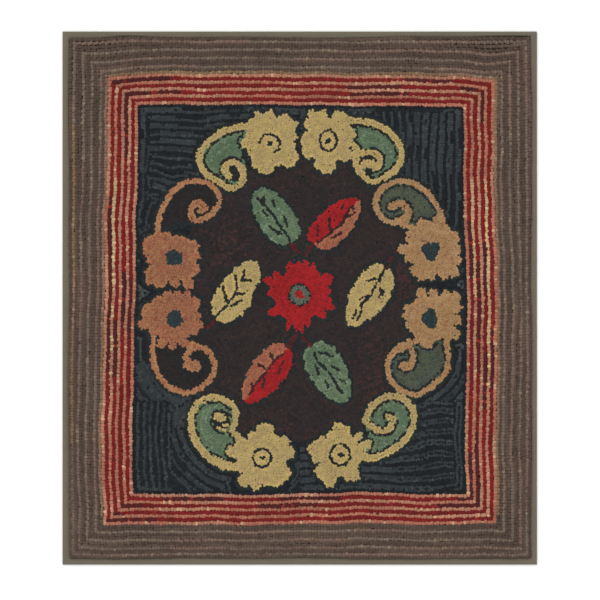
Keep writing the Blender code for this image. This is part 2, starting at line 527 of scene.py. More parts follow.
# Where a level line enters and leaves a cell, for each pattern of its corners that lie above the level.
# Corners and edges are counted anticlockwise from the near left corner and the near edge.
ENTERS = np.array([-1, 0, 1, 1, 2, 0, 2, 2, 3, 0, 1, 1, 3, 0, 3, -1])
LEAVES = np.array([-1, 3, 0, 3, 1, 3, 0, 3, 2, 2, 0, 2, 1, 1, 0, -1])
ENTERS_AGAIN = np.array([-1, -1, -1, -1, -1, 2, -1, -1, -1, -1, 3, -1, -1, -1, -1, -1])
LEAVES_AGAIN = np.array([-1, -1, -1, -1, -1, 1, -1, -1, -1, -1, 2, -1, -1, -1, -1, -1])


def level_points(heights: Array, inside: Array, spacing: float) -> dict[str, Array]:
    """Points spaced evenly along the lines where a grid of heights passes each whole number.

    Every cell whose corners lie on both sides of a whole number holds a short piece of its line, between the
    places where two of its edges pass that number. The pieces are joined into lines, and points are set on
    them so that a whole number of spaces fits each line.

    Args:
        heights: the height at each grid point.
        inside: the grid points where lines are wanted.
        spacing: distance between points, in cells.

    Returns:
        The column and row of each point, its level, its line and its distance along it in cells.
    """
    level = np.floor(heights).astype(np.int32)
    corners = np.stack([level[:-1, :-1], level[:-1, 1:], level[1:, 1:], level[1:, :-1]])
    top = corners.max(0)
    j, i = np.nonzero((top - corners.min(0) == 1) & inside[:-1, :-1])
    high = top[j, i]
    pattern = ((corners[:, j, i] >= high) * np.array([1, 2, 4, 8])[:, None]).sum(0)
    q = [heights[j, i], heights[j, i + 1], heights[j + 1, i + 1], heights[j + 1, i]]

    def share(k: int, m: int) -> Array:
        """Where between two corners the height passes the level."""
        gap = q[m] - q[k]
        return np.clip((high - q[k]) / np.where(np.abs(gap) < 1e-9, 1.0, gap), 0.0, 1.0)

    edge_x = np.stack([i + share(0, 1), i + 1.0, i + share(3, 2), i + 0.0 * i])
    edge_y = np.stack([j + 0.0 * j, j + share(1, 2), j + 1.0, j + share(0, 3)])
    rows, cols = heights.shape
    flat = j * cols + i
    edge_key = np.stack([flat, rows * cols + flat + 1, flat + cols, rows * cols + flat])
    parts = []
    for enters, leaves in ((ENTERS, LEAVES), (ENTERS_AGAIN, LEAVES_AGAIN)):
        cell = np.nonzero(enters[pattern] >= 0)[0]
        start, stop = enters[pattern[cell]], leaves[pattern[cell]]
        parts.append((
            edge_x[start, cell], edge_y[start, cell], edge_x[stop, cell], edge_y[stop, cell],
            edge_key[start, cell], edge_key[stop, cell], high[cell],
        ))
    x0, y0, x1, y1, key_in, key_out, at = (np.concatenate(column) for column in zip(*parts))
    owner = np.full(2 * rows * cols + 2, -1, np.int64)
    owner[key_in] = np.arange(len(key_in))
    length = np.hypot(x1 - x0, y1 - y0) + 1e-6
    line, from_end, whole = ranked_chains(owner[key_out], length)
    space = whole / np.maximum(1, np.round(whole / spacing))
    before = np.floor(from_end / space - 0.5)
    picked = before > np.floor((from_end - length) / space - 0.5)
    part = (from_end - (before + 0.5) * space) / length
    return {
        "column": (x0 + part * (x1 - x0))[picked],
        "row": (y0 + part * (y1 - y0))[picked],
        "level": at[picked],
        "line": line[picked],
        "along": from_end[picked],
    }


@dataclass(frozen=True)
class Form:
    """One patch of the field that is hooked in its own wool, with an outermost row that may differ."""

    dye: Dye
    zone: Zone
    edge: Dye | None = None
    edge_light: float = 1.0
    stroke: bool = False


@dataclass
class Chart:
    """The field's pattern on a grid of square cells: for each cell, the number of the form that it shows."""

    half_x: float = HALF_X - FIELD_AT + 9.0
    half_y: float = HALF_Y - FIELD_AT + 12.0
    cell: float = 0.6
    forms: list[Form] = field(default_factory=list)
    rows: list[Loops] = field(default_factory=list)

    def __post_init__(self) -> None:
        """Lays out the grid with the ground everywhere."""
        self.x = np.arange(-self.half_x, self.half_x, self.cell)
        self.y = np.arange(-self.half_y, self.half_y, self.cell)
        self.label = np.zeros((len(self.y), len(self.x)), np.int16)

    def window(self, low: Point, high: Point) -> tuple[tuple[slice, slice], Array, Array]:
        """The cells between two corners, with the x and y of their middles."""
        i0, i1 = np.searchsorted(self.x, (low[0], high[0]))
        j0, j1 = np.searchsorted(self.y, (low[1], high[1]))
        return (slice(j0, j1), slice(i0, i1)), self.x[None, i0:i1], self.y[j0:j1, None]

    def paint(self, form: Form, cells: tuple[slice, slice], mask: Array) -> int:
        """Gives the masked cells to a form and returns the form's number."""
        self.forms.append(form)
        number = len(self.forms) - 1
        self.label[cells][mask] = number
        return number

    def column_of(self, x: Array) -> Array:
        """The grid column nearest to each x."""
        return np.clip(np.round((x + self.half_x) / self.cell).astype(int), 0, len(self.x) - 1)

    def row_of(self, y: Array) -> Array:
        """The grid row nearest to each y."""
        return np.clip(np.round((y + self.half_y) / self.cell).astype(int), 0, len(self.y) - 1)

    def form_numbers(self, form: Array) -> tuple[Array, Array, Array]:
        """Numbers of the dye, the edge's dye and the zone of the form at each place."""
        numbers = np.array([(f.dye.number, (f.edge or f.dye).number, f.zone.number) for f in self.forms])
        return tuple(numbers[form].T)

    def paint_stroke(self, form: Form, curve: Array, width: float) -> None:
        """Paints every cell within half a width of a line.

        Args:
            form: what the cells then show.
            curve: the line's points.
            width: how wide the stroke is.
        """
        reach = width / 2
        low, high = curve.min(0) - reach - 2, curve.max(0) + reach + 2
        cells, x, y = self.window(tuple(low), tuple(high))
        fine = even_points(curve, self.cell / 2)
        seed = np.zeros((y.shape[0], x.shape[1]), bool)
        rows = np.clip(self.row_of(fine[:, 1]) - cells[0].start, 0, seed.shape[0] - 1)
        cols = np.clip(self.column_of(fine[:, 0]) - cells[1].start, 0, seed.shape[1] - 1)
        seed[rows, cols] = True
        near = distance_from(seed, math.ceil(reach / self.cell) + 2) * self.cell
        self.paint(form, cells, near < reach)


@dataclass(frozen=True)
class Stroke:
    """A line hooked in one or more rows side by side, such as a vein, an eye's ring or a scroll."""

    width: float
    lines: int
    form: Form
    rank: float = 0.0
    spacing: float = 4.1
    sway: float = 0.3

    def draw(self, chart: Chart, curve: Array) -> None:
        """Paints the stroke and sets its loops along lines side by side over its width.

        Args:
            chart: where it is drawn.
            curve: the points of its middle line.
        """
        chart.paint_stroke(self.form, curve, self.width)
        pitch = self.width / self.lines
        turn = headings(curve)
        normal = np.column_stack([-np.sin(turn), np.cos(turn)])
        for number in range(self.lines):
            side = (number + 0.5) * pitch - self.width / 2
            line = even_points(curve + side * normal, self.spacing)
            strip = np.arange(len(line)) // 22
            outer = number in (0, self.lines - 1) and self.lines > 1
            chart.rows.append(Loops.of(
                line, headings(line), (self.form.dye.number, self.form.zone.number, strip),
                (self.rank + 0.01 * number, self.form.edge_light if outer else 1.0,
                 min(pitch, 4.4) / 2 + 0.25, self.spacing / 2, EDGE_SWAY if outer else self.sway),
            ))


@dataclass(frozen=True)
class Flower:
    """A flower head seen from above: a disc with petals of its own reach, and an eye.

    In each direction the outline lies at the disc's radius plus, for the petal that reaches furthest there,
    what it stands out times a bump that falls to nothing at the petal's half width. A fine ripple is the
    small steps that loops make in the outline.
    """

    centre: Point
    disc: float
    petals: tuple[tuple[float, float, float], ...]
    form: Form
    eye: "Eye"
    pointed: bool = False

    def outline(self, bearing: Array) -> Array:
        """Distance of the outline from the centre at each bearing in degrees."""
        petal = np.array(self.petals)
        bend, blunt = (1.5, 0.7) if self.pointed else (2.8, 0.55)
        turn = (bearing[..., None] - petal[:, 0] + 180) % 360 - 180
        bump = np.clip(1 - (np.abs(turn) / petal[:, 2]) ** bend, 0, 1) ** blunt
        reach = (self.disc + (petal[:, 1] - self.disc) * bump).max(-1)
        ripple = np.sin(np.radians(bearing) * 29 + self.centre[0]) + np.sin(np.radians(bearing) * 41)
        return reach - 0.8 + 0.7 * ripple

    def draw(self, chart: Chart) -> None:
        """Paints the flower and its eye on the chart."""
        cx, cy = self.centre
        span = max(reach for _, reach, _ in self.petals) + 3
        cells, x, y = chart.window((cx - span, cy - span), (cx + span, cy + span))
        bearing = np.degrees(np.arctan2(y - cy, x - cx))
        chart.paint(self.form, cells, np.hypot(x - cx, y - cy) < self.outline(bearing))
        self.eye.draw(chart, self.centre, self.form)


@dataclass(frozen=True)
class Eye:
    """A flower's eye: a disc, whose rim may be drawn out to points, or rings round a dot."""

    across: float
    up: float
    ring_from: float = 0.0
    ring_sweep: float = 0.0
    dot: float = 0.0
    points: int = 0
    turn: float = 0.0
    ringed: bool = False
    depth: float = 0.16

    def draw(self, chart: Chart, centre: Point, flower: Form) -> None:
        """Paints the eye.

        Args:
            chart: where it is drawn.
            centre: its middle.
            flower: the flower's form, for the piece that the loops belong to.
        """
        dark = Form(Dye.OUTLINE if self.ring_sweep else Dye.EYE_DARK, flower.zone)
        if self.ring_sweep:
            ring = Stroke(3.6, 1, Form(Dye.OUTLINE, flower.zone, stroke=True), sway=0.6)
            ring.draw(chart, circle(centre, self.across, self.up, self.ring_from, self.ring_sweep))
        elif not self.ringed:
            self.paint_disc(chart, centre, self.across, self.up, dark)
        if self.ringed:
            self.paint_disc(chart, centre, self.across + 2.6, self.up + 2.6, Form(Dye.OUTLINE, flower.zone))
            self.paint_disc(chart, centre, self.across, self.up, Form(Dye.EYE_GREEN, flower.zone))
            self.paint_disc(chart, centre, self.dot, self.dot, flower)
        elif self.dot:
            self.paint_disc(chart, centre, self.dot * 1.25, self.dot, dark)

    def paint_disc(self, chart: Chart, centre: Point, across: float, up: float, form: Form) -> None:
        """Paints an ellipse with as many soft points round its rim as the eye has."""
        cells, x, y = chart.window((centre[0] - 24, centre[1] - 24), (centre[0] + 24, centre[1] + 24))
        dx, dy = x - centre[0], y - centre[1]
        turned = np.arctan2(dy, dx) - math.radians(self.turn)
        rim = 1 + (self.depth * np.cos(self.points * turned) if self.points else 0)
        chart.paint(form, cells, np.hypot(dx / across, dy / up) < rim)


@dataclass(frozen=True)
class Leaf:
    """A leaf with a midrib and veins, each one row of dark loops wide.

    Along the line from tail to tip each side's width is its greatest width times a power of the sine of pi
    times the share of the way, itself raised to a power that moves the widest place, with small teeth. A
    waist, a bell curve of its own depth and place, draws the right side in.
    """

    tail: Point
    tip: Point
    widths: tuple[float, float]
    left: Form
    right: Form
    midrib: tuple[Point, ...]
    veins: tuple[tuple[Point, ...], ...]
    bellies: tuple[float, float] = (1.0, 1.0)
    fullness: float = 0.5
    teeth: float = 0.045
    waist: tuple[float, float] = (0.0, 0.5)
    vein: Dye = Dye.OUTLINE

    def draw(self, chart: Chart) -> None:
        """Paints both halves of the leaf, then the midrib and the veins."""
        tail, tip = np.array(self.tail, float), np.array(self.tip, float)
        length = math.dist(self.tail, self.tip)
        axis = (tip - tail) / length
        low, high = np.minimum(tail, tip) - max(self.widths), np.maximum(tail, tip) + max(self.widths)
        cells, x, y = chart.window(tuple(low), tuple(high))
        dx, dy = x - tail[0], y - tail[1]
        share = (dx * axis[0] + dy * axis[1]) / length
        aside = dy * axis[0] - dx * axis[1]
        within = np.clip(share, 0, 1)
        width = np.where(aside > 0, *self.widths)
        belly = np.where(aside > 0, *self.bellies)
        half = width * np.sin(np.pi * within ** belly) ** self.fullness
        half = half * (1 - (aside < 0) * self.waist[0] * np.exp(-((within - self.waist[1]) / 0.11) ** 2))
        half = half * (1 + self.teeth * (np.sin(within * 34 + np.sign(aside)) + 0.6 * np.sin(within * 59)))
        rib = smooth_curve(self.midrib, 2.0)
        rib_share = (rib - tail) @ axis / length
        rib_aside = (rib - tail) @ np.array([-axis[1], axis[0]])
        order = np.argsort(rib_share)
        middle = np.interp(within, rib_share[order], rib_aside[order])
        leaf = (share > 0) & (share < 1) & (np.abs(aside) < half - 0.5)
        chart.paint(self.left, cells, leaf)
        if self.right is not self.left:
            chart.paint(self.right, cells, leaf & (aside < middle))
        vein = Stroke(3.7, 1, Form(self.vein, Zone.LEAVES, stroke=True), spacing=4.1, sway=0.7)
        for line in (self.midrib, *self.veins):
            vein.draw(chart, smooth_curve(line, 1.0))


@dataclass(frozen=True)
class Scroll:
    """A curling stroke with a filled inside."""

    points: tuple[Point, ...]
    stroke: Stroke
    filling: Form | None = None
    filled_to: int = 0
    hollow: tuple[Point, float, float] | None = None

    def draw_filling(self, chart: Chart) -> None:
        """Paints what the scroll's outer turn encloses up to a chosen point, and the dark round its curl."""
        if self.filling is None:
            return
        edge = smooth_curve(self.points[:self.filled_to], 3.0)
        cells, x, y = chart.window(tuple(edge.min(0)), tuple(edge.max(0)))
        inside = np.zeros((y.shape[0], x.shape[1]), bool)
        for (x0, y0), (x1, y1) in zip(edge, np.roll(edge, -1, axis=0)):
            if y0 != y1:
                crosses = (y > min(y0, y1)) & (y <= max(y0, y1))
                inside ^= crosses & (x < x0 + (y - y0) * (x1 - x0) / (y1 - y0))
        chart.paint(self.filling, cells, inside)
        if self.hollow:
            (cx, cy), across, up = self.hollow
            cells, x, y = chart.window((cx - across, cy - up), (cx + across, cy + up))
            within = np.hypot((x - cx) / across, (y - cy) / up) < 1
            chart.paint(Form(Dye.OUTLINE, Zone.SCROLLS), cells, within)

    def draw_stroke(self, chart: Chart) -> None:
        """Paints the curling line and sets its rows."""
        self.stroke.draw(chart, smooth_curve(self.points, 1.0))


@dataclass(frozen=True)
class Medallion:
    """The round dark middle of the field: a superellipse."""

    centre: Point = (2.0, -4.0)
    half_x: float = 189.0
    half_y: float = 226.0
    power: float = 2.6
    form: Form = Form(Dye.BROWN, Zone.MEDALLION, edge=Dye.TEAL)

    def draw(self, chart: Chart) -> None:
        """Paints the cells whose powered shares of the half sizes add up to less than one."""
        cells, x, y = chart.window((-chart.half_x, -chart.half_y), (chart.half_x, chart.half_y))
        shares = np.abs((x - self.centre[0]) / self.half_x) ** self.power
        shares = shares + np.abs((y - self.centre[1]) / self.half_y) ** self.power
        chart.paint(self.form, cells, shares < 1)


YELLOW_FLOWER = Form(Dye.YELLOW, Zone.FLOWERS, edge_light=1.10)
RUST_FLOWER = Form(Dye.FLOWER_RUST, Zone.FLOWERS, edge_light=1.10)
TAN_FLOWER = Form(Dye.FLOWER_TAN, Zone.FLOWERS, edge_light=1.08)
RED_FLOWER = Form(Dye.RED_BRIGHT, Zone.FLOWERS)
GREEN_LEAF = Form(Dye.GREEN, Zone.LEAVES, edge_light=1.12)
YELLOW_LEAF = Form(Dye.YELLOW, Zone.LEAVES, edge_light=1.08)
RED_LEAF = Form(Dye.RED_BRIGHT, Zone.LEAVES)
SALMON_LEAF = Form(Dye.LEAF_SALMON, Zone.LEAVES, edge_light=1.10)
GREEN_FILLING = Form(Dye.GREEN, Zone.SCROLLS, edge=Dye.OUTLINE)
BROWN_FILLING = Form(Dye.BROWN_FILL, Zone.SCROLLS, edge=Dye.OUTLINE)
GREY_FILLING = Form(Dye.GREEN_GREY, Zone.SCROLLS, edge=Dye.TEAL)
YELLOW_LINE = Form(Dye.YELLOW, Zone.SCROLLS, edge_light=1.08, stroke=True)
RUST_LINE = Form(Dye.SCROLL_RUST, Zone.SCROLLS, edge_light=1.04, stroke=True)
TAN_LINE = Form(Dye.FLOWER_TAN, Zone.SCROLLS, edge_light=1.04, stroke=True)
YELLOW_STROKE = Stroke(9.8, 3, YELLOW_LINE, rank=0.2)
YELLOW_THIN = Stroke(4.6, 1, YELLOW_LINE, rank=0.2)
YELLOW_BLOB = Stroke(13.0, 3, YELLOW_LINE, rank=0.1)
RUST_STROKE = Stroke(8.4, 2, RUST_LINE, rank=0.2)
RUST_THIN = Stroke(4.6, 1, RUST_LINE, rank=0.1)
RUST_WIDE = Stroke(10.0, 3, RUST_LINE, rank=0.1)
RUST_BLOB = Stroke(17.0, 4, RUST_LINE, rank=0.1)
TAN_STROKE = Stroke(8.2, 2, TAN_LINE, rank=0.2)
TAN_WIDE = Stroke(10.6, 3, TAN_LINE, rank=0.1)
TAN_BLOB = Stroke(13.5, 4, TAN_LINE, rank=0.1)

FLOWERS = (
    Flower(
        (-48, 247), 38,
        ((102, 52, 28), (113, 58, 9), (89, 55, 8), (129, 52, 10), (49, 54, 26), (62, 55, 8),
         (40, 57, 10), (157, 44, 10),
         (24, 47, 18), (-8, 43, 14), (-36, 53, 22), (-101, 51, 22), (-124, 47, 12), (178, 48, 12),
         (137, 46, 14)),
        YELLOW_FLOWER, Eye(16, 16, -60, 235, 3.6),
    ),
    Flower(
        (46, 252), 37,
        ((121, 51, 30), (121, 57, 11), (99, 50, 8), (141, 51, 10), (58, 53, 25), (22, 46, 16),
         (-41, 48, 16),
         (-97, 53, 27), (-150, 47, 16), (178, 46, 18)),
        YELLOW_FLOWER, Eye(13.5, 16.5, 0, 360, 4.2),
    ),
    Flower(
        (-60, -256), 40,
        ((85, 57, 20), (111, 46, 12), (62, 45, 12), (36, 54, 14), (12, 54, 15), (-34, 53, 17),
         (-60, 53, 18), (-80, 46, 10),
         (-104, 53, 14), (-128, 58, 14), (-158, 46, 14), (167, 58, 14), (146, 50, 14)),
        YELLOW_FLOWER, Eye(14.5, 14.5, 0, 360, 3.6),
    ),
    Flower(
        (65, -251), 36,
        ((94, 52, 14), (78, 50, 12), (116, 42, 12), (45, 51, 9), (22, 55, 11), (0, 44, 14), (-54, 50, 13),
         (-72, 46, 10), (-112, 55, 15), (-137, 53, 18), (-171, 47, 12), (165, 53, 18), (144, 44, 12)),
        YELLOW_FLOWER, Eye(15.5, 17, 0, 360, 4.0),
    ),
    Flower(
        (-201, 64), 38,
        ((150, 57, 18), (166, 53, 12), (128, 51, 12), (110, 44, 12), (32, 46, 14), (5, 43, 10),
         (-32, 46, 18),
         (-60, 57, 12), (-86, 49, 12), (-122, 55, 18), (-138, 61, 12), (-150, 53, 10), (-176, 46, 8)),
        RUST_FLOWER, Eye(14.5, 13.0),
    ),
    Flower(
        (-200, -33), 38,
        ((-171, 60, 12), (165, 56, 20), (135, 48, 16), (106, 46, 12), (85, 46, 10), (62, 49, 12),
         (38, 51, 14),
         (6, 43, 12), (-13, 47, 9), (-31, 45, 10), (-70, 48, 12), (-95, 52, 8), (-118, 54, 10),
         (-150, 48, 14)),
        RUST_FLOWER, Eye(13.5, 14.0),
    ),
    Flower(
        (210, 76), 38,
        ((109, 54, 14), (128, 51, 10), (141, 50, 10), (152, 45, 10), (176, 54, 12), (-163, 46, 12),
         (-128, 50, 12), (-109, 53, 12), (-88, 49, 10), (-60, 52, 14), (-43, 59, 14), (-20, 52, 12),
         (2, 49, 12), (30, 52, 18), (53, 48, 14), (80, 42, 20), (93, 49, 10)),
        TAN_FLOWER, Eye(14.0, 14.5, points=3, turn=30),
    ),
    Flower(
        (208, -33), 38,
        ((40, 63, 12), (22, 56, 11), (57, 54, 10), (82, 49, 12), (107, 51, 12), (154, 45, 12),
         (174, 44, 10),
         (-161, 41, 10), (-96, 48, 16), (-42, 50, 12), (-30, 57, 11), (-3, 52, 12)),
        TAN_FLOWER, Eye(13.0, 15.5, points=3, turn=60),
    ),
    Flower(
        (0, 5), 41,
        ((87, 52, 29), (109, 58, 8), (80, 58, 10), (93, 57, 8), (66, 56, 8), (53, 50, 9), (33, 62, 11),
         (25, 60, 9),
         (-9, 54, 11), (7, 53, 11), (-21, 62, 10), (-41, 58, 11), (-126, 46, 9), (-74, 55, 9),
         (-87, 62, 8), (-90, 51, 22),
         (-96, 59, 7), (-109, 60, 8), (-146, 61, 12), (176, 54, 12), (157, 66, 10), (152, 52, 16),
         (140, 58, 8)),
        RED_FLOWER, Eye(15.5, 15.5, dot=7.2, ringed=True), pointed=True,
    ),
)

LEAVES_OF_MIDDLE = (
    Leaf(
        (-15, 88), (-67, 174.5), (28, 30), GREEN_LEAF, GREEN_LEAF,
        ((-15, 93), (-25, 107), (-36, 122), (-45, 136), (-57, 149)),
        (((-49, 115), (-30, 102)), ((-24, 130), (-21, 115)), ((-59, 139), (-52, 133)), ((-41, 147),
         (-43, 155)),
         ((-66, 160), (-60, 150)), ((-58, 162), (-57, 151))),
        (0.9, 0.66), 0.38,
    ),
    Leaf(
        (18, -75), (73.5, -166), (31.5, 28.5), GREEN_LEAF, GREEN_LEAF,
        ((23, -88), (29, -101), (44, -116), (57, -134), (62, -145), (69, -152)),
        (((31, -86), (52, -94)), ((52, -110), (63, -115)), ((64, -130), (74, -136)), ((26, -107),
         (30, -123)),
         ((41, -132), (46, -142))),
        (0.8, 0.8), 0.42,
    ),
    Leaf(
        (-132, -34), (-69.5, 57), (27.5, 30), YELLOW_LEAF, YELLOW_LEAF,
        ((-133, -29), (-120, -15), (-106, 3), (-101, 15), (-102, 36)),
        (((-118, -5), (-122, 18)), ((-102, 8), (-88, 7)), ((-109, -13), (-92, -5)), ((-92, 28), (-88, 45)),
         ((-92, 28), (-78, 28))),
        (0.85, 0.8), 0.42, teeth=0.05, waist=(0.2, 0.64),
    ),
    Leaf(
        (80, -45), (135.5, 53), (27.5, 34), YELLOW_LEAF, YELLOW_LEAF,
        ((142, 55), (136, 45), (129, 34), (122, 20), (111, 1), (100, -8), (98, -22), (93, -36)),
        (((106, 27), (121, 31)), ((96, -2), (108, 5)), ((128, 15), (133, 8), (127, 2)), ((85, -32),
         (91, -19))),
        (1.2, 1.45), 0.42, teeth=0.05,
    ),
    Leaf(
        (21, 86), (94.5, 157.5), (26, 29), RED_LEAF, SALMON_LEAF,
        ((28, 90), (42, 98), (53, 108), (63, 115), (71, 128), (77, 138), (85, 147)),
        (((29, 115), (28, 101)), ((48, 128), (47, 110)), ((70, 150), (68, 142)), ((87, 136), (77, 130)),
         ((66, 104), (52, 96))),
        (0.72, 0.72), 0.42, vein=Dye.VEIN,
    ),
    Leaf(
        (-21, -77), (-86, -166.5), (28.5, 28), RED_LEAF, SALMON_LEAF,
        ((-27, -89), (-37, -97), (-48, -110), (-55, -121), (-68, -134), (-80, -154)),
        (((-48, -89), (-43, -96)), ((-65, -106), (-56, -112)), ((-78, -138), (-73, -141)),
         ((-28, -101), (-34, -121)), ((-56, -130), (-60, -143))),
        (0.76, 0.85), 0.42, vein=Dye.VEIN,
    ),
)

STEMS = (
    ((-15, 88), (-8, 80), (-1, 73)),
    ((20, 87), (14, 78), (9, 69)),
    ((-7, -61), (-13, -70), (-19, -79)),
    ((6, -61), (12, -69), (18, -77)),
    ((137, 48), (143, 56), (149, 65)),
    ((-134, -37), (-141, -42), (-148, -48)),
)

# Middle, half width, half height and share of the loops of each russet patch in the medallion.
RUSSET_PATCHES = (
    (166, 36, 22, 30, 0.7),
    (118, -125, 18, 55, 0.75),
    (-115, 95, 30, 45, 0.35),
    (-60, -215, 40, 20, 0.3),
    (30, 205, 60, 14, 0.25),
)

SCROLLS = (
    Scroll(
        ((-84, 275), (-107, 272), (-131, 262), (-149.5, 246), (-160.5, 226), (-154.5, 204),
         (-135, 189.5), (-110, 175),
         (-92, 187), (-92, 206), (-107, 218), (-120, 208), (-113, 195)),
        YELLOW_STROKE, GREEN_FILLING, 9, ((-105, 199), 11, 13),
    ),
    Scroll(
        ((85, 284), (114, 280.5), (142, 267), (160.5, 243.5), (160.5, 216), (141, 196), (117, 186),
         (101, 197),
         (92, 211), (89.5, 223), (91, 236), (82, 250)),
        YELLOW_STROKE, GREEN_FILLING, 12, ((111, 219), 17, 14),
    ),
    Scroll(
        ((95, 230), (103, 231.5), (113, 232.5), (122, 231), (127.5, 224), (127.5, 214), (121, 208)),
        YELLOW_STROKE,
    ),
    Scroll(((104, 214), (111, 214.5), (117, 214)), YELLOW_BLOB),
    Scroll(
        ((-98, -272), (-126, -268), (-154, -246.5), (-170.5, -219), (-173, -188), (-160, -166),
         (-136, -159),
         (-114, -167), (-104, -178), (-102, -190), (-105, -201), (-107, -212), (-98, -224)),
        YELLOW_STROKE, GREEN_FILLING, 13, ((-125, -197), 14, 15),
    ),
    Scroll(((-131, -191), (-124, -191)), YELLOW_BLOB),
    Scroll(((-98, -271), (-120, -268), (-137, -259)), YELLOW_BLOB),
    Scroll(((-132, -207), (-125, -209.5), (-119, -212)), YELLOW_THIN),
    Scroll(((-122, -204), (-115, -203)), YELLOW_THIN),
    Scroll(
        ((109, -258), (136, -250), (166, -230), (182, -203), (180, -176), (162, -159), (139, -158),
         (118, -171),
         (106, -194), (122, -211), (141, -211), (149, -195), (141, -189)),
        YELLOW_STROKE, GREEN_FILLING, 9,
    ),
    Scroll(
        ((-227, 106), (-225, 126), (-217, 147), (-203, 170), (-182, 184), (-156, 187), (-134, 173),
         (-128, 153),
         (-138, 138), (-151.5, 128), (-165, 124)),
        RUST_STROKE, BROWN_FILLING, 11,
    ),
    Scroll(
        ((-169, 124), (-173.5, 136), (-171, 147.5), (-163, 152), (-156, 149.5), (-152, 143.5)),
        RUST_WIDE,
    ),
    Scroll(((-163, 139), (-156, 137.5)), RUST_THIN),
    Scroll(
        ((-234, -62), (-235.5, -87), (-229.5, -116), (-210, -141), (-180.5, -151.5), (-153, -140),
         (-138, -122),
         (-136, -108), (-140, -95), (-148, -84), (-160, -79.5), (-171, -79), (-178, -86), (-182, -96),
         (-179, -105)),
        RUST_STROKE, BROWN_FILLING, 12,
    ),
    Scroll(((-178, -106), (-172, -110), (-165, -109)), RUST_BLOB),
    Scroll(((-177, -78), (-171, -74), (-164, -77)), RUST_STROKE),
    Scroll(
        ((231, 115), (224, 139), (205, 168), (180, 184), (152, 186), (130, 173), (121, 152), (125, 138),
         (133, 128), (143, 122), (153, 120), (163, 119), (174, 115), (188, 112)),
        TAN_STROKE, GREY_FILLING, 14,
    ),
    Scroll(
        ((170, 118), (173.5, 131), (172, 142), (167, 149.5), (159, 151.5), (152, 149), (147.5, 145)),
        TAN_WIDE,
    ),
    Scroll(((157, 124.5), (168, 127)), TAN_STROKE),
    Scroll(((219, 127), (224, 119), (226, 112)), TAN_WIDE),
    Scroll(
        ((234, -70), (238, -93), (233.5, -119), (212, -141), (184.5, -154.5), (160, -146), (144, -127),
         (140.5, -108), (146, -92), (153, -83), (162, -76.5), (172, -73), (188, -68)),
        TAN_STROKE, GREY_FILLING, 13,
    ),
    Scroll(((162, -83), (170, -76), (176, -70)), TAN_WIDE),
    Scroll(((177, -78), (181, -87), (182.5, -96), (180, -104)), TAN_STROKE),
    Scroll(((177, -107), (171, -109), (165, -107.5)), TAN_BLOB),
)


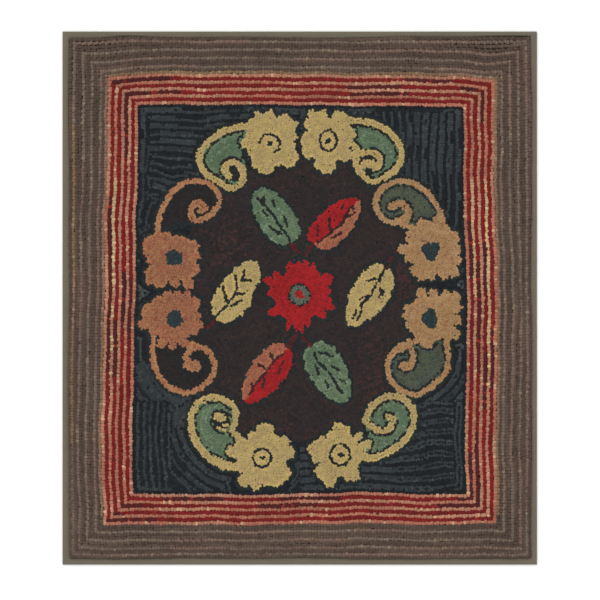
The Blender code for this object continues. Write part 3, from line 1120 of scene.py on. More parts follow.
@dataclass
class HookedField:
    """The pile inside the striped band: the chart, the rows led over it and their loops."""

    pitch: float = 4.3
    spacing: float = 4.15
    least: float = 2.85
    gap: float = 3.05
    strip_length: float = 88.0
    reach: int = 90
    wide: float = 1.25
    chart: Chart = field(default_factory=Chart)

    def draw(self) -> None:
        """Draws the whole pattern on the chart, from the ground up."""
        chart = self.chart
        chart.forms.append(Form(Dye.NAVY, Zone.GROUND, edge=Dye.TEAL))
        Medallion().draw(chart)
        for scroll in SCROLLS:
            scroll.draw_filling(chart)
        stem = Stroke(7.2, 2, Form(Dye.MAROON, Zone.MEDALLION, stroke=True), rank=0.6)
        for line in STEMS:
            stem.draw(chart, smooth_curve(line, 1.0))
        for scroll in SCROLLS:
            scroll.draw_stroke(chart)
        for flower in FLOWERS:
            flower.draw(chart)
        for leaf in LEAVES_OF_MIDDLE:
            leaf.draw(chart)

    def insets(self) -> dict[str, Array]:
        """Distance of each grid point from the band's inner edge on each side."""
        x, y = self.chart.x[None, :], self.chart.y[:, None]
        return {
            "left": HALF_X - FIELD_AT + x - ROWS_LEFT.at(y),
            "right": HALF_X - FIELD_AT - x - ROWS_RIGHT.at(y),
            "near": HALF_Y - FIELD_AT + y - ROWS_NEAR.at(x),
            "far": HALF_Y - FIELD_AT - y - ROWS_FAR.at(x),
        }

    def ruled_heights(self, inset: dict[str, Array]) -> Array:
        """Rows of the ground, counted from the band: each corner of the field has its own lie.

        Along the band a few rows run beside it. Inside them the far left and near right corners are ruled
        along the far and the near side, and the other two along the right and the left side.
        """
        x, y = self.chart.x[None, :], self.chart.y[:, None]
        far = np.where(x < 0, inset["far"] + 0 * x, inset["right"] + 0 * y)
        near = np.where(x < 0, inset["left"] / self.wide + 0 * y, inset["near"] + 0 * x)
        beside = np.where(x < 0, inset["left"] + 0 * y, inset["right"] + 0 * y)
        over = np.where(y > 0, inset["far"] + 0 * x, inset["near"] + 0 * x)
        heights = np.where(y > 0, far, near)
        heights = np.where(beside < 18, np.minimum(beside, heights), heights)
        heights = np.where(over < 9, np.minimum(over, heights), heights)
        drift = 1.9 * np.sin(x / 27 + y / 61) + 1.3 * np.sin(y / 24 - x / 43) + 0.6 * np.sin(x / 9 + y / 13)
        drift = drift + 7 * np.exp(-((x + 236) / 17) ** 2 - ((y - 188) / 38) ** 2)
        drift = drift - 4 * np.exp(-((x + 205) / 16) ** 2 - ((y - 196) / 34) ** 2)
        drift = drift - np.where((x > 0) & (y < 0), heights * np.clip((x - 110) / 400, 0, 0.24), 0)
        return (heights + drift * np.clip(heights / 20, 0, 1)) / self.pitch + 0.5

    def is_dark(self, level: Array, period: Array | int, place: Array) -> Array:
        """Which ground rows are dark: one in each run, and here and there the row after it too."""
        x, y = place.T
        least = 0.75 + np.where((x > 0) & (y < 0), 1.15, 0.0) - np.where((x > 0) & (y > 0), 0.5, 0.0)
        doubled = np.sin(x / 13 + y / 19) + np.sin(y / 11 - x / 27) + np.sin(x / 41 - y / 37) > least
        return (level % period == 1) | ((level % period == 2) & doubled)

    def free(self) -> Array:
        """Grid points of the ground whose rows follow the nearest motif and not the band."""
        x, y = self.chart.x[None, :], self.chart.y[:, None]
        beside_wreath = (y < 208 - 0.45 * np.abs(x + 120)) & (y > -165)
        return beside_wreath | ((y < 0) & (x < 0) & (x > -206))

    def from_grid(self, points: dict[str, Array], slope: tuple[Array, Array]) -> tuple[Array, Array, Array]:
        """Places, headings and grid cells of points on the chart.

        Args:
            points: what level_points gives.
            slope: the heights' slope along y and along x.

        Returns:
            The places, the headings across the slope, and the row and column of each.
        """
        cell = self.chart.cell
        place = np.column_stack([points["column"], points["row"]]) * cell
        place -= np.array([self.chart.half_x, self.chart.half_y])
        at = np.stack([np.round(points["row"]).astype(int), np.round(points["column"]).astype(int)])
        heading = np.arctan2(slope[1][at[0], at[1]], -slope[0][at[0], at[1]])
        return place, heading, at

    def strips(self, points: dict[str, Array]) -> Array:
        """Number of the wool strip that each loop is hooked with: lengths of a row, row by row."""
        turn = np.floor(points["along"] * self.chart.cell / self.strip_length + (points["line"] % 7) / 7)
        _, number = np.unique(points["line"] * 64 + turn.astype(np.int64), return_inverse=True)
        return number

    def echo_rows(self, inset_all: Array) -> tuple[Loops, Array]:
        """Rows that follow the outline of every form, the outermost first.

        Args:
            inset_all: distance of each grid point from the band.

        Returns:
            The loops, and each grid point's distance from the nearest outline.
        """
        chart = self.chart
        label = np.where(inset_all > 0, chart.label, 0)
        edge = np.zeros(label.shape, bool)
        edge[:, :-1] |= label[:, :-1] != label[:, 1:]
        edge[:-1] |= label[:-1] != label[1:]
        far = softened(distance_from(edge, self.reach), 2) * chart.cell
        heights = far / self.pitch + 0.5
        points = level_points(heights, inset_all > 0, self.spacing / chart.cell)
        place, heading, at = self.from_grid(points, np.gradient(far))
        form = chart.label[at[0], at[1]]
        own = points["level"] - 1
        stroke = np.array([f.stroke for f in chart.forms])
        ground = (form == 0) & (own > 0)
        keep = (own >= 0) & ~stroke[form] & (~ground | self.free()[at[0], at[1]])
        keep &= ~ground | (inset_all[at[0], at[1]] > self.pitch)
        dye, edge_dye, zone = chart.form_numbers(form)
        light = np.array([f.edge_light for f in chart.forms])[form]
        beside = self.beside_motif(label)[at[0], at[1]]
        outer = (own == 0) & ((form > 1) | beside)
        beside_band = (np.abs(place[:, 0]) > 200) & (np.abs(place[:, 1]) < 100)
        pale = np.where(beside_band, Dye.TEAL_GREY.number, Dye.SLATE.number)
        plain = (own < 6) & (place[:, 0] < -168) & (np.abs(place[:, 1] + 155) < 50)
        dye = np.where(ground & (plain | ~self.is_dark(own, 3, place)), pale, dye)
        loops = Loops.of(
            place, heading, (np.where(outer, edge_dye, dye), zone, self.strips(points)),
            (1 + 0.1 * own, np.where(outer, light, 1.0), self.pitch / 2, self.spacing / 2,
             np.where(outer, EDGE_SWAY, 0.25)),
        )
        return loops.taken(keep), far

    def beside_motif(self, label: Array) -> Array:
        """Which grid points lie within a row of a motif."""
        return distance_from(label > 1, 12) * self.chart.cell < self.pitch * 1.05

    def ruled_rows(self, inset: dict[str, Array], inset_all: Array, far: Array) -> Loops:
        """Straight and turned rows of the ground, in runs of two or three dark rows and a light one.

        Args:
            inset: distance of each grid point from the band on each side.
            inset_all: the least of them.
            far: distance of each grid point from the nearest outline.

        Returns:
            The loops.
        """
        chart = self.chart
        heights = self.ruled_heights(inset)
        points = level_points(heights, inset_all > 0, self.spacing / chart.cell)
        place, heading, at = self.from_grid(points, np.gradient(heights))
        keep = (chart.label[at[0], at[1]] == 0) & (far[at[0], at[1]] > self.pitch * 0.95)
        keep &= (inset_all[at[0], at[1]] > 1.2)
        keep &= ~self.free()[at[0], at[1]] | (inset_all[at[0], at[1]] < self.pitch)
        x, y = place.T
        period = np.where((x < 0) & (y < 0), 2, 3)
        light_row = ~self.is_dark(points["level"], period, place) & (points["level"] > 1)
        dye = np.where(light_row, Dye.SLATE.number, Dye.NAVY.number)
        wide = np.where((x < 0) & (y < 0), self.wide, 1.0)
        loops = Loops.of(
            place, heading, (dye, Zone.GROUND.number, self.strips(points)),
            (2.0, 1.0, self.pitch / 2 * wide, self.spacing / 2, 0.4),
        )
        return loops.taken(keep)

    def gap_loops(self, loops: Loops, inset_all: Array) -> Loops:
        """Loops that fill the holes left between rows, each in the wool of the form that it lies in.

        Args:
            loops: the loops that are there.
            inset_all: distance of each grid point from the band.

        Returns:
            The new loops alone.
        """
        chart = self.chart
        seed = np.zeros(chart.label.shape, bool)
        seed[chart.row_of(loops.place[:, 1]), chart.column_of(loops.place[:, 0])] = True
        empty = distance_from(seed, 12) * chart.cell
        rows, cols = np.nonzero((empty > self.gap) & (inset_all > 1.8))
        place = np.column_stack([chart.x[cols], chart.y[rows]])
        stay = thinned(place, -empty[rows, cols], self.gap)
        rows, cols, place = rows[stay], cols[stay], place[stay]
        form = chart.label[rows, cols]
        beside = self.beside_motif(chart.label)[rows, cols] & (form <= 1)
        dye, edge_dye, zone = chart.form_numbers(form)
        turn = 0.7 * np.sin(place[:, 0] / 9) + 0.7 * np.sin(place[:, 1] / 7)
        return Loops.of(
            place, turn, (np.where(beside, edge_dye, dye), zone, np.arange(len(place))),
            (3.0, 1.0, self.pitch / 2, self.spacing / 2, 0.2),
        )

    def tint(self, loops: Loops) -> None:
        """Hooks parts of the medallion in russet wool.

        Near each patch's middle its share of the loops take the wool, and fewer further out, by a bell curve.
        """
        x, y = loops.place.T
        share = sum(part * np.exp(-((x - at_x) / wide) ** 2 - ((y - at_y) / tall) ** 2)
                    for at_x, at_y, wide, tall, part in RUSSET_PATCHES)
        drawn = np.random.default_rng(SEED).random(len(x)) < share
        loops.dye[(loops.dye == Dye.BROWN.number) & drawn] = Dye.RUSSET.number

    def loops(self) -> Loops:
        """Every loop of the field, with none too close to another and no hole between them."""
        self.draw()
        inset = self.insets()
        inset_all = np.minimum.reduce([*np.broadcast_arrays(*inset.values())])
        echo, far = self.echo_rows(inset_all)
        ruled = self.ruled_rows(inset, inset_all, far)
        every = Loops.joined([*self.chart.rows, echo, ruled])
        at = self.chart.row_of(every.place[:, 1]), self.chart.column_of(every.place[:, 0])
        every = every.taken(inset_all[at] > 1.0)
        sway = every.sway * np.random.default_rng(SEED).normal(0, 1, len(every.sway))
        across = np.column_stack([np.sin(every.heading), -np.cos(every.heading)])
        every.place = every.place + np.clip(sway, -1.8, 1.8)[:, None] * across
        every = every.taken(thinned(every.place, every.rank, self.least))
        for _ in range(3):
            every = Loops.joined([every, self.gap_loops(every, inset_all)])
            ease = np.select([every.rank < 1, every.rank < 1.05, every.rank == 2], [0.0, 0.15, 0.25], 1.0)
            every.place = spread_out(every.place, ease, self.spacing, 3)
        self.tint(every)
        log.info("field: %d loops in %d forms", len(every.place), len(self.chart.forms))
        return every


@dataclass
class BorderRows:
    """The rows that run round the rug outside the field: taupe rows in two shades, then the striped band."""

    spacing: float = 4.7
    wobble: float = 0.45
    sway: float = 0.42
    slant: float = 0.3
    strip_length: float = 92.0

    def row_dyes(self) -> list[tuple[Dye, Zone, float]]:
        """The wool, piece and width of each row, from the rim inwards."""
        outer = [(Dye.TAUPE_LIGHT if n % 3 == 1 else Dye.TAUPE_DARK, Zone.OUTER_BORDER, OUTER_PITCH)
                 for n in range(OUTER_ROWS)]
        outer[-1] = (Dye.BEIGE, Zone.OUTER_BORDER, OUTER_PITCH)
        band = [(Dye.RED if n % 2 else Dye.SALMON, Zone.STRIPED_BAND, BAND_PITCH) for n in range(BAND_ROWS)]
        return outer + band

    def row(self, number: int, depth: float, dye: Dye, zone: Zone, pitch: float) -> Loops:
        """One row round the rug.

        Args:
            number: the row's number from the rim, which sets its wobble.
            depth: the distance of its middle inside the outer edge.
            dye: its wool.
            zone: the piece that it belongs to.
            pitch: its width.

        Returns:
            Its loops.
        """
        x_steps = round(2 * (HALF_X - depth) / self.spacing)
        y_steps = round(2 * (HALF_Y - depth) / self.spacing)
        x_share, y_share = ring_shares(x_steps, y_steps)
        round_at = np.arange(len(x_share)) * self.spacing
        wave = np.sin(round_at / 47 + number * 2.1) + 0.6 * np.sin(round_at / 13 + number)
        turn_over = np.where(np.arange(len(x_share)) % 2, 1.0, -1.0)
        swing = turn_over * np.sin(round_at / 71 + number * 1.7)
        x, y = ring_point(depth + self.wobble * wave + self.sway * swing, x_share, y_share)
        place = np.column_stack([x, y])
        step = np.roll(place, -2, axis=0) - np.roll(place, 2, axis=0)
        heading = np.arctan2(step[:, 1], step[:, 0]) + self.slant * np.sin(round_at / 90 + number * 2.6)
        strip = np.floor(round_at / self.strip_length + number * 0.37).astype(int)
        half = np.full(len(place), pitch / 2)
        index = np.full(len(place), dye.number)
        if dye is Dye.SALMON:
            side = (np.abs(x) > HALF_X - depth - 12) & (y < 190) & (y > -150)
            cream = side & ((number == OUTER_ROWS + 2) | ((number == OUTER_ROWS + 6) & (x > 0) & (y > 0)))
            index[cream] = Dye.SALMON_CREAM.number
            half *= 0.89
        elif dye is Dye.RED:
            half *= 1.09
        elif number == 1:
            index[(x < depth + 12 - HALF_X) & (np.abs(y - 20) < 260)] = Dye.BEIGE.number
        elif dye is Dye.BEIGE:
            index[y < -HALF_Y + depth + 12] = Dye.TAUPE_DARK.number
        return Loops.of(place, heading, (index, zone.number, strip), (0.0, 1.0, half, self.spacing / 2, 0.2))

    def loops(self) -> Loops:
        """Every loop of the border."""
        rows, depth = [], RIM_AT
        for number, (dye, zone, pitch) in enumerate(self.row_dyes()):
            rows.append(self.row(number, depth + pitch / 2, dye, zone, pitch))
            depth += pitch
        every = Loops.joined(rows)
        log.info("border: %d loops in %d rows", len(every.place), len(rows))
        return every


def make_mesh(name: str, points: Array, faces: list[Array]) -> bpy.types.Mesh:
    """A mesh from whole arrays of points and faces.

    Args:
        name: the mesh's name.
        points: one row for each point, in metres.
        faces: arrays of faces that have as many corners each, in the order in which they are stored.

    Returns:
        The mesh, shaded smooth.
    """
    mesh = bpy.data.meshes.new(name)
    mesh.vertices.add(len(points))
    mesh.vertices.foreach_set("co", np.ascontiguousarray(points, np.float32).ravel())
    corners = np.concatenate([f.ravel() for f in faces]).astype(np.int32)
    sizes = np.concatenate([np.full(len(f), f.shape[1], np.int32) for f in faces])
    starts = np.concatenate([[0], np.cumsum(sizes)[:-1]]).astype(np.int32)
    mesh.loops.add(len(corners))
    mesh.loops.foreach_set("vertex_index", corners)
    mesh.polygons.add(len(sizes))
    mesh.polygons.foreach_set("loop_start", starts)
    mesh.update(calc_edges=True)
    mesh.validate()
    mesh.shade_smooth()
    return mesh


def grid_faces(number: Array) -> Array:
    """The faces of a grid of numbered points, anticlockwise, one row each."""
    corners = (number[:-1, :-1], number[:-1, 1:], number[1:, 1:], number[1:, :-1])
    return np.stack(corners, axis=2).reshape(-1, 4)


def add_uv(mesh: bpy.types.Mesh, name: str, values: Array) -> None:
    """Gives a mesh a UV map from one pair of values for each of its points."""
    corners = np.empty(len(mesh.loops), np.int32)
    mesh.loops.foreach_get("vertex_index", corners)
    layer = mesh.uv_layers.new(name=name)
    layer.uv.foreach_set("vector", values[corners].astype(np.float32).ravel())


def add_colours(mesh: bpy.types.Mesh, name: str, colours: Array) -> None:
    """Gives a mesh a colour for each of its points."""
    whole = np.column_stack([colours, np.ones(len(colours))]).astype(np.float32)
    mesh.color_attributes.new(name, "FLOAT_COLOR", "POINT").data.foreach_set("color", whole.ravel())


def plan_uv(points: Array) -> Array:
    """Plan view of the points as UV values: x and y over the rug's longer side."""
    return points[:, :2] / (2 * HALF_Y * MM) + 0.5


def make_piece(name: str, mesh: bpy.types.Mesh, material: bpy.types.Material) -> bpy.types.Object:
    """A finished piece at the origin, riding on the rug's one body.

    Args:
        name: the piece's name.
        mesh: its mesh, in place.
        material: its finish.

    Returns:
        The object.
    """
    piece = bpy.data.objects.new(name, mesh)
    bpy.context.scene.collection.objects.link(piece)
    mesh.materials.append(material)
    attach(piece, "root")
    log.info("%s: %d points, %d faces", name, len(mesh.vertices), len(mesh.polygons))
    return piece


class Nodes:
    """Short ways to add and join the nodes of a material or a group."""

    def __init__(self, tree: bpy.types.NodeTree) -> None:
        """Keeps the tree that nodes are added to."""
        self.tree = tree

    def add(self, kind: str, **values: object) -> bpy.types.Node:
        """Adds a node, and sets its properties and, by socket name, its unlinked inputs.

        Args:
            kind: the node's type.
            values: properties by name, and inputs by socket name with underscores for spaces.

        Returns:
            The node.
        """
        node = self.tree.nodes.new(kind)
        for name, value in values.items():
            if hasattr(node, name):
                setattr(node, name, value)
            else:
                node.inputs[name.replace("_", " ")].default_value = value
        return node

    def join(self, source: bpy.types.NodeSocket, target: bpy.types.NodeSocket) -> None:
        """Links an output to an input."""
        self.tree.links.new(source, target)

    def maths(self, operation: str, first: object, second: object) -> bpy.types.NodeSocket:
        """The result of one operation on two values, each a number or an output."""
        node = self.tree.nodes.new("ShaderNodeMath")
        node.operation = operation
        for socket, value in zip(node.inputs, (first, second)):
            if isinstance(value, bpy.types.NodeSocket):
                self.join(value, socket)
            else:
                socket.default_value = value
        return node.outputs[0]


def new_group(name: str, inputs: dict[str, tuple[str, object]], outputs: dict[str, str]) -> Nodes:
    """An empty shader node group with named inputs and outputs.

    Args:
        name: the group's name.
        inputs: for each input its kind of socket and its default value.
        outputs: for each output its kind of socket.

    Returns:
        The group's nodes, with those for its inputs and outputs named In and Out.
    """
    tree = bpy.data.node_groups.new(name, "ShaderNodeTree")
    for label, (kind, default) in inputs.items():
        tree.interface.new_socket(label, in_out="INPUT", socket_type=kind).default_value = default
    for label, kind in outputs.items():
        tree.interface.new_socket(label, in_out="OUTPUT", socket_type=kind)
    tree.nodes.new("NodeGroupInput").name = "In"
    tree.nodes.new("NodeGroupOutput").name = "Out"
    return Nodes(tree)


FLOAT_KIND = "NodeSocketFloat"
COLOUR_KIND = "NodeSocketColor"


def scaled_colour(nodes: Nodes, colour: bpy.types.NodeSocket, factor: bpy.types.NodeSocket,
                  height: bpy.types.NodeSocket) -> bpy.types.NodeTree:
    """Ends a group: puts out a colour times a factor, and a height.

    Args:
        nodes: the group's nodes.
        colour: the colour.
        factor: what it is multiplied by.
        height: the height.

    Returns:
        The group.
    """
    scale = nodes.add("ShaderNodeVectorMath", operation="SCALE")
    out = nodes.tree.nodes["Out"]
    nodes.join(colour, scale.inputs["Vector"])
    nodes.join(factor, scale.inputs["Scale"])
    nodes.join(scale.outputs["Vector"], out.inputs["Colour"])
    nodes.join(height, out.inputs["Height"])
    return nodes.tree


def fibre_group() -> bpy.types.NodeTree:
    """Wool fibres: a fine heather of lighter and darker threads, and the fuzz that goes with it.

    The colour is the given one times one plus the spread times two noises, a coarse and a fine one, and the
    height is the fine noise alone.
    """
    inputs = {"Colour": (COLOUR_KIND, (0.5, 0.5, 0.5, 1.0)), "Spread": (FLOAT_KIND, 0.3),
              "Fineness": (FLOAT_KIND, 900.0)}
    nodes = new_group("wool_fibres", inputs, {"Colour": COLOUR_KIND, "Height": FLOAT_KIND})
    given = nodes.tree.nodes["In"]
    place = nodes.add("ShaderNodeTexCoord").outputs["Object"]
    fine = nodes.add("ShaderNodeTexNoise", Detail=3.0, Roughness=0.65)
    coarse = nodes.add("ShaderNodeTexNoise", Scale=130.0, Detail=2.0)
    nodes.join(given.outputs["Fineness"], fine.inputs["Scale"])
    for noise in (fine, coarse):
        nodes.join(place, noise.inputs["Vector"])
    both = nodes.maths("ADD", fine.outputs["Fac"], coarse.outputs["Fac"])
    centred = nodes.maths("SUBTRACT", both, 1.0)
    factor = nodes.maths("ADD", nodes.maths("MULTIPLY", centred, given.outputs["Spread"]), 1.0)
    return scaled_colour(nodes, given.outputs["Colour"], factor, fine.outputs["Fac"])


def weave_group() -> bpy.types.NodeTree:
    """Plain weave in the piece's own UV map, which is in metres along and across the cloth.

    Two waves at right angles are the threads. Their product tells over from under, and their sum is the
    height. Slow noise fades and soils the colour. The colour is also darkened where the height is low, a
    painted shade between the threads, which a fine noise varies as grain.
    """
    inputs = {"Colour": (COLOUR_KIND, (0.3, 0.3, 0.3, 1.0)), "Faded": (COLOUR_KIND, (0.4, 0.4, 0.4, 1.0)),
              "Thread": (FLOAT_KIND, 0.0008), "Contrast": (FLOAT_KIND, 0.3), "Fading": (FLOAT_KIND, 0.5)}
    nodes = new_group("plain_weave", inputs, {"Colour": COLOUR_KIND, "Height": FLOAT_KIND})
    given = nodes.tree.nodes["In"]
    cloth = nodes.add("ShaderNodeUVMap", uv_map="Weave").outputs["UV"]
    split = nodes.add("ShaderNodeSeparateXYZ")
    nodes.join(cloth, split.inputs[0])
    turn = nodes.maths("DIVIDE", math.pi, given.outputs["Thread"])
    warp = nodes.maths("SINE", nodes.maths("MULTIPLY", split.outputs["X"], turn), 0.0)
    weft = nodes.maths("SINE", nodes.maths("MULTIPLY", split.outputs["Y"], turn), 0.0)
    crossing = nodes.maths("MULTIPLY", warp, weft)
    bare_warp, bare_weft = nodes.maths("ABSOLUTE", warp, 0.0), nodes.maths("ABSOLUTE", weft, 0.0)
    threads = nodes.maths("MULTIPLY", bare_warp, bare_weft)
    height = nodes.maths("ADD", threads, nodes.maths("MULTIPLY", crossing, 0.35))
    place = nodes.add("ShaderNodeTexCoord").outputs["Object"]
    slow = nodes.add("ShaderNodeTexNoise", Scale=22.0, Detail=4.0, Roughness=0.6)
    fine = nodes.add("ShaderNodeTexNoise", Scale=700.0, Detail=2.0)
    for noise in (slow, fine):
        nodes.join(place, noise.inputs["Vector"])
    fading = nodes.maths("MULTIPLY", slow.outputs["Fac"], given.outputs["Fading"])
    mix = nodes.add("ShaderNodeMix", data_type="RGBA", clamp_factor=True)
    nodes.join(fading, mix.inputs["Factor"])
    nodes.join(given.outputs["Colour"], mix.inputs["A"])
    nodes.join(given.outputs["Faded"], mix.inputs["B"])
    # painted shade: the colour is darkened where the weave's height is low, between the threads, and varied by
    # a fine grain
    thread_shade_and_grain = nodes.maths("ADD", height, fine.outputs["Fac"])
    shade = nodes.maths("MULTIPLY", thread_shade_and_grain, given.outputs["Contrast"])
    factor = nodes.maths("ADD", shade, nodes.maths("SUBTRACT", 1.0, given.outputs["Contrast"]))
    return scaled_colour(nodes, mix.outputs["Result"], factor, height)


def effect_material(
    name: str, effect: bpy.types.NodeTree, values: dict[str, object], shading: dict[str, float],
    bump: tuple[float, float],
) -> tuple[bpy.types.Material, bpy.types.Node]:
    """A material whose shader takes its colour and its bump from an effect's node group.

    Args:
        name: the material's name.
        effect: the node group.
        values: the group's unlinked inputs.
        shading: the shader's own sockets.
        bump: the bump's strength, and its distance in metres.

    Returns:
        The material and the group's node.
    """
    material = bpy.data.materials.new(name)
    material.use_nodes = True
    nodes = Nodes(material.node_tree)
    shader = material.node_tree.nodes["Principled BSDF"]
    group = nodes.add("ShaderNodeGroup", node_tree=effect)
    for node, sockets in ((shader, shading), (group, values)):
        for socket, value in sockets.items():
            node.inputs[socket].default_value = value
    relief = nodes.add("ShaderNodeBump", Strength=bump[0], Distance=bump[1])
    nodes.join(group.outputs["Colour"], shader.inputs["Base Color"])
    nodes.join(group.outputs["Height"], relief.inputs["Height"])
    nodes.join(relief.outputs["Normal"], shader.inputs["Normal"])
    return material, group


@dataclass(frozen=True)
class WoolFinish:
    """Hooked wool: matt, with a soft sheen, coloured loop by loop from the mesh."""

    roughness: float = 0.95
    specular: float = 0.15
    sheen: float = 0.08
    sheen_roughness: float = 0.6
    spread: float = 0.35
    fineness: float = 950.0
    bump: tuple[float, float] = (0.35, 0.0004)

    def material(self, fibres: bpy.types.NodeTree) -> bpy.types.Material:
        """The material, with the fibre group between the loops' colours and the shader."""
        shading = {"Roughness": self.roughness, "Specular IOR Level": self.specular,
                   "Sheen Weight": self.sheen, "Sheen Roughness": self.sheen_roughness}
        values = {"Spread": self.spread, "Fineness": self.fineness}
        material, group = effect_material("hooked_wool", fibres, values, shading, self.bump)
        nodes = Nodes(material.node_tree)
        colour = nodes.add("ShaderNodeAttribute", attribute_name="yarn_colour")
        nodes.join(colour.outputs["Color"], group.inputs["Colour"])
        return material


@dataclass(frozen=True)
class WovenFinish:
    """Plainly woven cloth, faded and a little soiled, with a painted shade between its threads."""

    name: str
    colour: str
    faded: str
    thread: float
    # how deep the painted shade between the threads and the fine grain are in the colour
    contrast: float
    fading: float
    roughness: float = 0.9
    specular: float = 0.2
    bump: tuple[float, float] = (0.5, 0.0003)

    def material(self, weave: bpy.types.NodeTree) -> bpy.types.Material:
        """The material, with the weave group feeding the shader's colour and bump."""
        shading = {"Roughness": self.roughness, "Specular IOR Level": self.specular}
        values = {"Colour": (*linear_colour(self.colour), 1.0), "Faded": (*linear_colour(self.faded), 1.0),
                  "Thread": self.thread, "Contrast": self.contrast, "Fading": self.fading}
        return effect_material(self.name, weave, values, shading, self.bump)[0]


